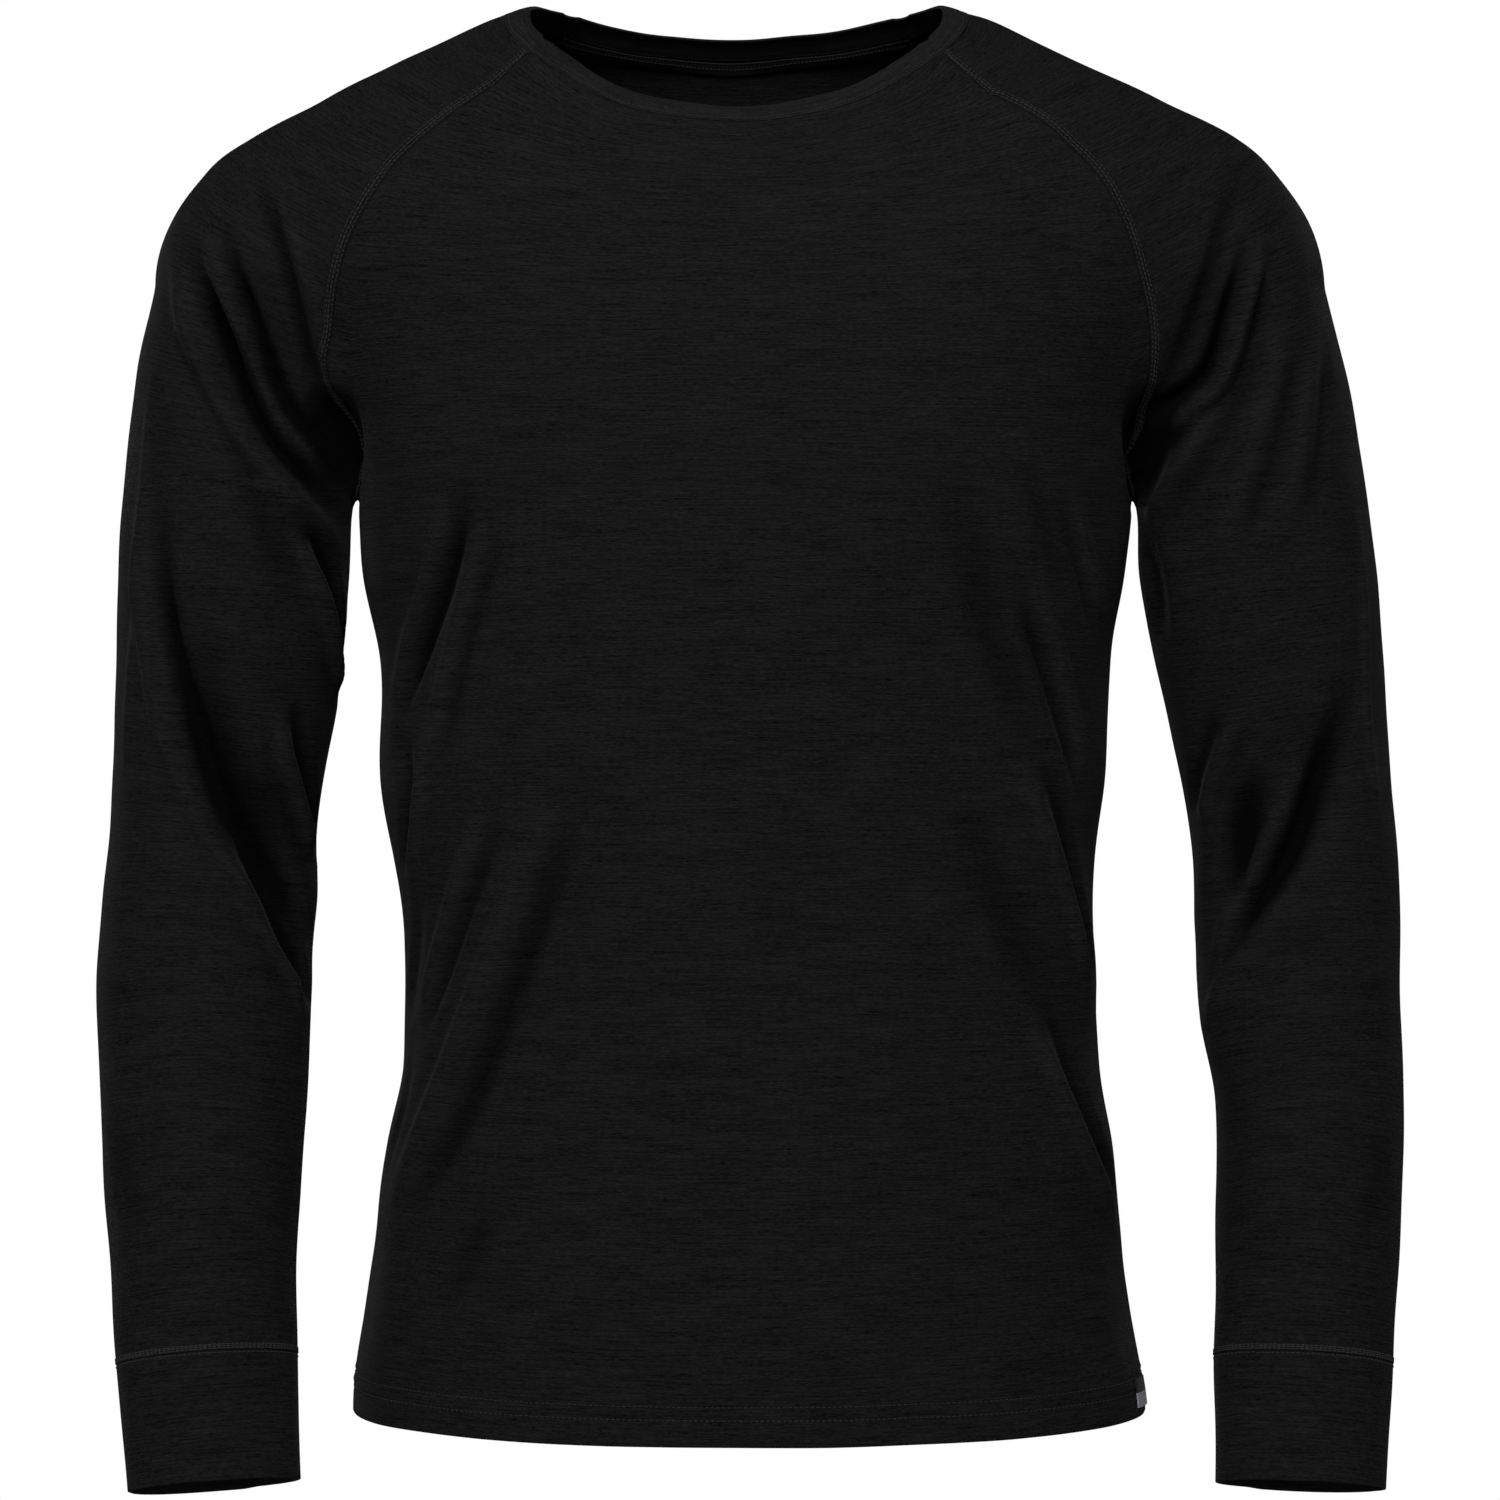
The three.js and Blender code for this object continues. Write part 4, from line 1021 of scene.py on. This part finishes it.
body_jersey = jersey_material("body_jersey", 0.0010, 0.0109, 0.02)
sleeve_jersey = jersey_material("sleeve_jersey", 0.0010, 0.0108, 0.022)
band_jersey = jersey_material("band_jersey", 0.0022, 0.0128, 0.03)
thread = woven_material("thread", grey(0.016), 0.75, 0.5, 0.02)
bright_thread = woven_material("bright_thread", grey(0.0175), 0.75, 0.5, 0.02)
tape_cloth = woven_material("tape_cloth", grey(0.007), 0.8, 0.7, 0.015)
label_dark = woven_material("label_dark", (0.0115, 0.0072, 0.0078), 0.7, 0.4, 0.03)
label_pale = woven_material("label_pale", (0.17, 0.16, 0.185), 0.65, 0.4, 0.1)


# Cloth pieces
def thickness(grid):
    turned = smooth((HEM_Z + HEM_DEPTH + 4 - grid[..., 2]) / 6)
    return WALL + (HEM_WALL - WALL) * turned


# Points that round off the first edge of a shell from its inner to its outer side
def rounded(outer, inner, steps=3):
    middle = (outer[0] + inner[0]) / 2
    across = (inner[0] - outer[0]) / 2
    down = unit(outer[0] - outer[1]) * np.linalg.norm(across, axis=-1, keepdims=True) * 0.8
    turns = np.pi * np.arange(1, steps + 1) / (steps + 1)
    return [middle + across * math.cos(turn) + down * math.sin(turn) for turn in turns]


# Small rise or fall of the outer face along rows of stitches, by distance from the first edge
def stitch_relief(outer, normal, rows, depth, reach, raised):
    rise = np.linalg.norm(np.diff(outer, axis=0), axis=-1)
    way = np.concatenate([np.zeros((1, outer.shape[1])), np.cumsum(rise, axis=0)])
    for row in rows:
        near = np.clip(1 - ((way - row) / reach) ** 2, 0, 1) ** 2
        outer = outer - normal * (depth * near)[..., None]
    for centre, height, half in raised:
        near = np.clip(1 - ((way - centre) / half) ** 2, 0, 1) ** 2
        outer = outer + normal * (height * near)[..., None]
    return outer


def cloth_piece(name, grid, node, material, thick, tube=0, free_edge=False, relief=None):
    outer, normal = cloth_points(grid)
    if relief:
        outer = stitch_relief(outer, normal, **relief)
    shift = draw_back(outer, tube)
    if free_edge:
        shift[0] = 0
    outer = outer + shift
    inner = outer - normal * (thick(grid) if callable(thick) else thick)[..., None]
    rounds = rounded(outer, inner) if free_edge else ()
    places = flat_places(grid)
    # The finer folds' depths feed the painted shade and painted light in the cloth's colour
    piece = shell_mesh(name, outer, inner, places, tube, rounds, [material], depths_for_painted_shade(grid))
    add_to_top(piece, node)
    return {"piece": piece, "outer": outer, "normal": normal, "inner": inner, "grid": grid}


def one_layer(grid):
    return np.full(grid.shape[:-1], WALL)


hem_relief = {"rows": HEM_ROWS, "depth": 0.35, "reach": 1.7, "raised": [[15.2, 0.55, 3.2], [20.8, 0.35, 2.4]]}
cloth = {
    "front": cloth_piece(
        "front_cloth", front_grid, "front_panel", body_jersey, thickness, 0, True, hem_relief
    ),
    "back": cloth_piece("back_cloth", back_grid, "back_panel", body_jersey, thickness, 0, True, hem_relief),
}
for name in SIGN:
    cloth[f"sleeve_{name}"] = cloth_piece(
        f"sleeve_{name}_cloth", sleeve_grid(name), f"sleeve_{name}", sleeve_jersey, one_layer, SLEEVE_ROWS + 1
    )
    cloth[f"cuff_{name}"] = cloth_piece(
        f"cuff_{name}_cloth",
        cuff_grid(name),
        f"cuff_{name}",
        sleeve_jersey,
        one_layer,
        CUFF_ROWS + 1,
        True,
    )


# Neckband: a folded strip that stands on the neck seam and leans into the opening
BAND_PROFILE = [
    [0.15, 0], [1.2, 0.3], [2.4, 0.12], [3.6, 0.36], [5.5, 0.55], [7.5, 0.6], [9.5, 0.5], [11.3, 0.3],
    [12.3, 0],
]


def neckband():
    loop = np.concatenate([neck[part][:-1] for part in ("front", "left", "back", "right")])
    outer, normal = cloth_points(loop)
    along = unit(np.roll(outer, -1, axis=0) - np.roll(outer, 1, axis=0))
    level = unit(np.stack([-along[:, 1], along[:, 0], np.zeros(len(along))], axis=-1))
    frontness = np.abs(outer[:, 1] - NECK["y"]) / NECK["front"]
    rise = np.radians(BAND_RISE_SIDE + (BAND_RISE_FRONT - BAND_RISE_SIDE) * smooth(frontness * 1.1))[:, None]
    lean = level * np.cos(rise) + np.array([0, 0, 1]) * np.sin(rise)
    out = unit(np.cross(along, lean))
    out = np.where(np.sum(out * normal, axis=-1, keepdims=True) < 0, -out, out)
    faces = [outer + lean * width + out * bulge for width, bulge in BAND_PROFILE]
    backs = []
    for k, face in enumerate(faces):
        share = min(BAND_PROFILE[k][0] / (BAND_WIDTH * 0.5), 1)
        backs.append(face - unit(normal * (1 - share) + out * share) * BAND_WALL)

    def close(ring):
        return np.concatenate([ring, ring[:1]])

    outer_rows = np.array([close(ring) for ring in faces])[::-1]
    inner_rows = np.array([close(ring) for ring in backs])[::-1]
    normals = np.broadcast_to(close(out), outer_rows.shape)
    rounds = rounded(outer_rows, inner_rows)
    places = flat_places(outer_rows)
    piece = shell_mesh(
        "neckband_cloth", outer_rows, inner_rows, places, len(outer_rows), rounds, [band_jersey]
    )
    add_to_top(piece, "neckband")
    return {"piece": piece, "outer": outer_rows, "normal": normals, "inner": inner_rows}


cloth["neckband"] = neckband()


# Tape over the back neck seam, on the inside of the back panel
def neck_tape():
    inner = cloth["back"]["inner"]
    normal = cloth["back"]["normal"]
    rows = []
    for depth in np.linspace(TAPE_START, TAPE_START + TAPE_WIDTH, 5):
        row = []
        for j in range(1, inner.shape[1] - 1):
            line = inner[-8:, j][::-1]
            row.append(at_lengths(line, [depth])[0] - normal[-1, j] * SEAM_GAP)
        rows.append(row)
    outer = np.array(rows)
    normals = np.broadcast_to(normal[-1, 1:-1], outer.shape)
    bulge = np.array([0, 0.25, 0.3, 0.25, 0])[:, None, None]
    inside = outer - normals * (TAPE_WALL + bulge)
    piece = shell_mesh("neck_tape_cloth", outer, inside, flat_places(outer), materials=[tape_cloth])
    add_to_top(piece, "neck_tape")
    return {"piece": piece, "inside": inside, "normal": normals}


tape = neck_tape()


# Plain side tab: a dark upper part and a pale lower block
def side_label():
    rows = []
    for down in np.linspace(0, 1, 13):
        z = LABEL_TOP_Z - down * LABEL_HEIGHT
        x, y, a, b = torso_level(z)
        power = torso_at(z)[4]
        places = SIDE_SEAM_HEM_Y - 1 - np.linspace(0, 1, 17) * LABEL_WIDTH
        v = np.abs((places - y) / b)
        rows.append(np.stack([x + a * (1 - v**power) ** (1 / power), places, np.full(17, z)], axis=-1))
    grid = settle(np.array(rows))
    outer, normal = cloth_points(grid)
    lifted = outer + normal * (LABEL_WALL + SEAM_GAP / 2 + 0.3)
    piece = shell_mesh(
        "side_label_tab",
        lifted,
        lifted - normal * LABEL_WALL,
        flat_places(grid),
        materials=[label_dark, label_pale],
    )
    for polygon in piece.data.polygons:
        polygon.material_index = 1 if polygon.center.z < (LABEL_TOP_Z - LABEL_HEIGHT * 0.5) * MM else 0
    add_to_top(piece, "side_label")
    return piece


side_label()


# Stitching

# A short rounded spindle along x, with its flat side down
def spindle(length, radius, sides=6):
    stations = np.array([-0.5, -0.42, -0.2, 0.2, 0.42, 0.5]) * length
    widths = np.array([0.15, 0.72, 1.0, 1.0, 0.72, 0.15]) * radius
    turns = 2 * np.pi * np.arange(sides) / sides
    rings = [[[x, w * math.cos(t), 0.8 * w * math.sin(t)] for t in turns] for x, w in zip(stations, widths)]
    points = np.array(rings).reshape(-1, 3)
    faces = []
    for k in range(len(stations) - 1):
        for s in range(sides):
            n = (s + 1) % sides
            faces.append([k * sides + s, k * sides + n, (k + 1) * sides + n, (k + 1) * sides + s])
    faces.append(list(range(sides))[::-1])
    faces.append([(len(stations) - 1) * sides + s for s in range(sides)])
    return points, faces


# Places of stitches along a line on the cloth, every `pitch`, each turned by `slant` degrees in turn
def along_line(points, normals, pitch, slant=0.0):
    whole = travelled(points)[-1]
    count = max(int(round(whole / pitch)), 2)
    lengths = (np.arange(count) + 0.5) * whole / count
    centres = at_lengths(points, lengths)
    way = travelled(points)
    ups = unit(np.stack([np.interp(lengths, way, normals[:, k]) for k in range(3)], axis=-1))
    ahead = at_lengths(points, lengths + 0.4) - at_lengths(points, lengths - 0.4)
    along = unit(ahead - ups * np.sum(ahead * ups, axis=-1, keepdims=True))
    across = np.cross(ups, along)
    turn = np.radians(slant) * np.where(np.arange(count) % 2 == 0, 1, -1)[:, None]
    return centres, along * np.cos(turn) + across * np.sin(turn), ups


def stitches(name, rows, length, radius, material):
    template, faces = spindle(length, radius)
    corners = []
    for centres, along, ups in rows:
        across = np.cross(ups, along)
        spread = rng.normal(0, 0.05, len(centres))[:, None]
        centres = centres + ups * radius * 0.25 + across * spread
        local = (
            template[None, :, 0:1] * along[:, None]
            + template[None, :, 1:2] * across[:, None]
            + template[None, :, 2:3] * ups[:, None]
        )
        corners.append((centres[:, None] + local).reshape(-1, 3))
    positions = np.concatenate(corners)
    total = len(positions) // len(template)
    every = [[v + k * len(template) for v in face] for k in range(total) for face in faces]
    piece = build_mesh(name, positions, every, materials=[material], sharp=180)
    add_to_top(piece, None)
    return piece


# The line on a shell at a distance from its first row, as points and normals
def level_line(part, distance):
    outer, normal = part["outer"], part["normal"]
    points = []
    normals = []
    for j in range(outer.shape[1]):
        way = travelled(outer[:, j])
        points.append([np.interp(distance, way, outer[:, j, k]) for k in range(3)])
        normals.append([np.interp(distance, way, normal[:, j, k]) for k in range(3)])
    return np.array(points), unit(np.array(normals))


# The line on a sleeve's cap at a distance from its front or back raglan seam
def seam_line(part, distance, back):
    outer, normal = part["outer"][SLEEVE_ROWS + 1 :], part["normal"][SLEEVE_ROWS + 1 :]
    if back:
        outer, normal = outer[:, ::-1], normal[:, ::-1]
    points = []
    normals = []
    for i in range(len(outer)):
        way = travelled(outer[i])
        points.append([np.interp(distance, way, outer[i, :, k]) for k in range(3)])
        normals.append([np.interp(distance, way, normal[i, :, k]) for k in range(3)])
    return np.array(points), unit(np.array(normals))


hem_rows = []
hem_highlight_ticks = []
for part in ("front", "back"):
    for distance in HEM_ROWS:
        points, normals = level_line(cloth[part], distance)
        hem_rows.append(along_line(points, normals, STITCH["pitch"]))
        # Short thread-coloured ticks across the lower row: painted highlights of the small puckers along the
        # stitching
        if distance == HEM_ROWS[0]:
            hem_highlight_ticks.append(along_line(points, normals, STITCH["pitch"], 90))
stitches("hem_stitches", hem_rows, STITCH["length"], STITCH["radius"], thread)
# Thread ticks as painted highlights of the hem's puckers
stitches("hem_pucker_highlights", hem_highlight_ticks, 2.2, 0.13, thread)

for name in SIGN:
    upper = [level_line(cloth[f"sleeve_{name}"], distance) for distance in CUFF_ROWS_UP]
    upper = [along_line(points, normals, 2.2) for points, normals in upper]
    stitches(f"cuff_{name}_upper_rows", upper, 2.1, 0.4, bright_thread)
    cuff = cloth[f"cuff_{name}"]
    flipped = {"outer": cuff["outer"][::-1], "normal": cuff["normal"][::-1]}
    points, normals = level_line(flipped, CUFF_ROW_DOWN)
    stitches(f"cuff_{name}_lower_row", [along_line(points, normals, 2.4)], 2.1, 0.3, bright_thread)

band = cloth["neckband"]
flipped = {"outer": band["outer"][::-1], "normal": band["normal"][::-1]}
points, normals = level_line(flipped, BAND_ROW)
stitches("neckband_stitches", [along_line(points, normals, 2.4)], 1.9, 0.24, thread)

tape_rows = []
for row in (0, 2):
    line = tape["inside"][row]
    tape_rows.append(along_line(line, -tape["normal"][row], 2.0))
    tape_rows.append(along_line(line, -tape["normal"][row], 2.0, 90))
stitches("tape_stitches", tape_rows, 1.7, 0.26, bright_thread)


# The flat raised strip of a covered raglan seam, on the sleeve
def seam_strip(name, part, back):
    offsets = [0.35, 0.8, 1.7, 2.8, 3.9, 4.9, 5.4]
    heights = [0.05, 0.3, 0.26, 0.42, 0.26, 0.3, 0.05]
    lines = [seam_line(part, offset, back) for offset in offsets]
    outer = np.array([points + normals * height for (points, normals), height in zip(lines, heights)])
    inner = np.array([points - normals * 0.1 for points, normals in lines])
    places = flat_places(outer)
    piece = shell_mesh(name, outer, inner, places, materials=[sleeve_jersey])
    add_to_top(piece, None)


for name in SIGN:
    part = cloth[f"sleeve_{name}"]
    rows = []
    middle = []
    for back in (False, True):
        seam_strip(f"raglan_{name}_{'back' if back else 'front'}_strip", part, back)
        for distance in (RAGLAN_ROWS_OUT[0], RAGLAN_ROWS_OUT[2]):
            points, normals = seam_line(part, distance, back)
            rows.append(along_line(points + normals * 0.32, normals, 2.5))
        points, normals = seam_line(part, RAGLAN_ROWS_OUT[1], back)
        middle.append(along_line(points + normals * 0.4, normals, 2.5))
    stitches(f"raglan_{name}_outer_rows", rows, 1.6, 0.3, bright_thread)
    stitches(f"raglan_{name}_middle_row", middle, 2.1, 0.4, bright_thread)


# Floor, light and camera
def floor_material():
    material, nodes = new_material("studio_floor")
    place = nodes.add("ShaderNodeTexCoord").outputs["Object"]
    noise = nodes.add("ShaderNodeTexNoise", Vector=place, Scale=2.0, Detail=2.0)
    shade = nodes.ramp(noise.outputs["Fac"], [(0.3, grey(0.86)), (0.7, grey(0.9))])
    shader = nodes.add("ShaderNodeBsdfPrincipled", Base_Color=shade, Roughness=0.9)
    nodes.add("ShaderNodeOutputMaterial", Surface=shader.outputs[0])
    return material


FLOOR_Z = -1100
FLOOR_REACH = 2300
FLOOR_CORNERS = [(-1, -1), (1, -1), (1, 1), (-1, 1)]
floor = build_mesh(
    "studio_ground",
    np.array([[x * FLOOR_REACH, y * FLOOR_REACH, FLOOR_Z] for x, y in FLOOR_CORNERS], float),
    [[0, 1, 2, 3]],
    materials=[floor_material()],
)


# A pale band all round at eye level, white behind the top, dimmer above and below
def studio_world():
    world = bpy.data.worlds.new("studio")
    bpy.context.scene.world = world
    world.use_nodes = True
    world.node_tree.nodes.clear()
    nodes = Nodes(world.node_tree)
    direction = nodes.add("ShaderNodeTexCoord").outputs["Generated"]
    split = nodes.add("ShaderNodeSeparateXYZ", Vector=direction)
    stops = [(0.40, grey(0.06)), (0.43, grey(1.0)), (0.57, grey(1.0)), (0.60, grey(0.1))]
    band = nodes.ramp(nodes.math("MULTIPLY_ADD", split.outputs[2], 0.5, 0.5), stops)
    toward = nodes.math("MULTIPLY_ADD", split.outputs[1], 0.5, 0.5)
    behind = nodes.ramp(toward, [(0.93, grey(0.4)), (0.985, grey(1.0))])
    colour = nodes.add("ShaderNodeVectorMath", {"operation": "MULTIPLY"}).outputs[0]
    nodes.put(colour.node.inputs[0], band)
    nodes.put(colour.node.inputs[1], behind)
    background = nodes.add("ShaderNodeBackground", Color=colour, Strength=1.0)
    nodes.add("ShaderNodeOutputWorld", Surface=background.outputs[0])


studio_world()


def area_light(name, place, target, size, power):
    data = bpy.data.lights.new(name, "AREA")
    data.shape = "RECTANGLE"
    data.size, data.size_y = size
    data.energy = power
    item = bpy.data.objects.new(name, data)
    bpy.context.scene.collection.objects.link(item)
    item.location = place
    direction = np.array(target) - np.array(place)
    yaw = math.atan2(direction[0], -direction[1])
    tilt = math.atan2(math.hypot(direction[0], direction[1]), -direction[2])
    item.rotation_euler = (tilt, 0, yaw + math.pi)
    return item


area_light("key", (-0.25, -2.2, 1.6), (0, 0, -0.3), (0.9, 0.8), 112)
area_light("side_right", (-2.4, -0.5, 0.35), (-0.1, 0, -0.35), (0.7, 1.5), 9)
area_light("side_left", (2.4, -0.5, 0.35), (0.1, 0, -0.35), (0.7, 1.5), 7)
area_light("rim_right", (-1.6, 1.3, -0.1), (-0.25, 0, -0.35), (0.4, 1.6), 5)
area_light("rim_left", (1.6, 1.3, -0.1), (0.25, 0, -0.35), (0.4, 1.6), 4)

CAMERA_DISTANCE = 3.0
CAMERA_HEIGHT = -0.355
FRAME_WIDTH = 0.729  # at the origin's depth
camera_data = bpy.data.cameras.new("photo_camera")
camera_data.sensor_width = 36
camera_data.lens = 36 * CAMERA_DISTANCE / FRAME_WIDTH
camera = bpy.data.objects.new("photo_camera", camera_data)
bpy.context.scene.collection.objects.link(camera)
camera.location = (0, -CAMERA_DISTANCE, CAMERA_HEIGHT)
camera.rotation_euler = (math.pi / 2, 0, 0)
bpy.context.scene.camera = camera
bpy.context.scene.view_settings.view_transform = "Standard"
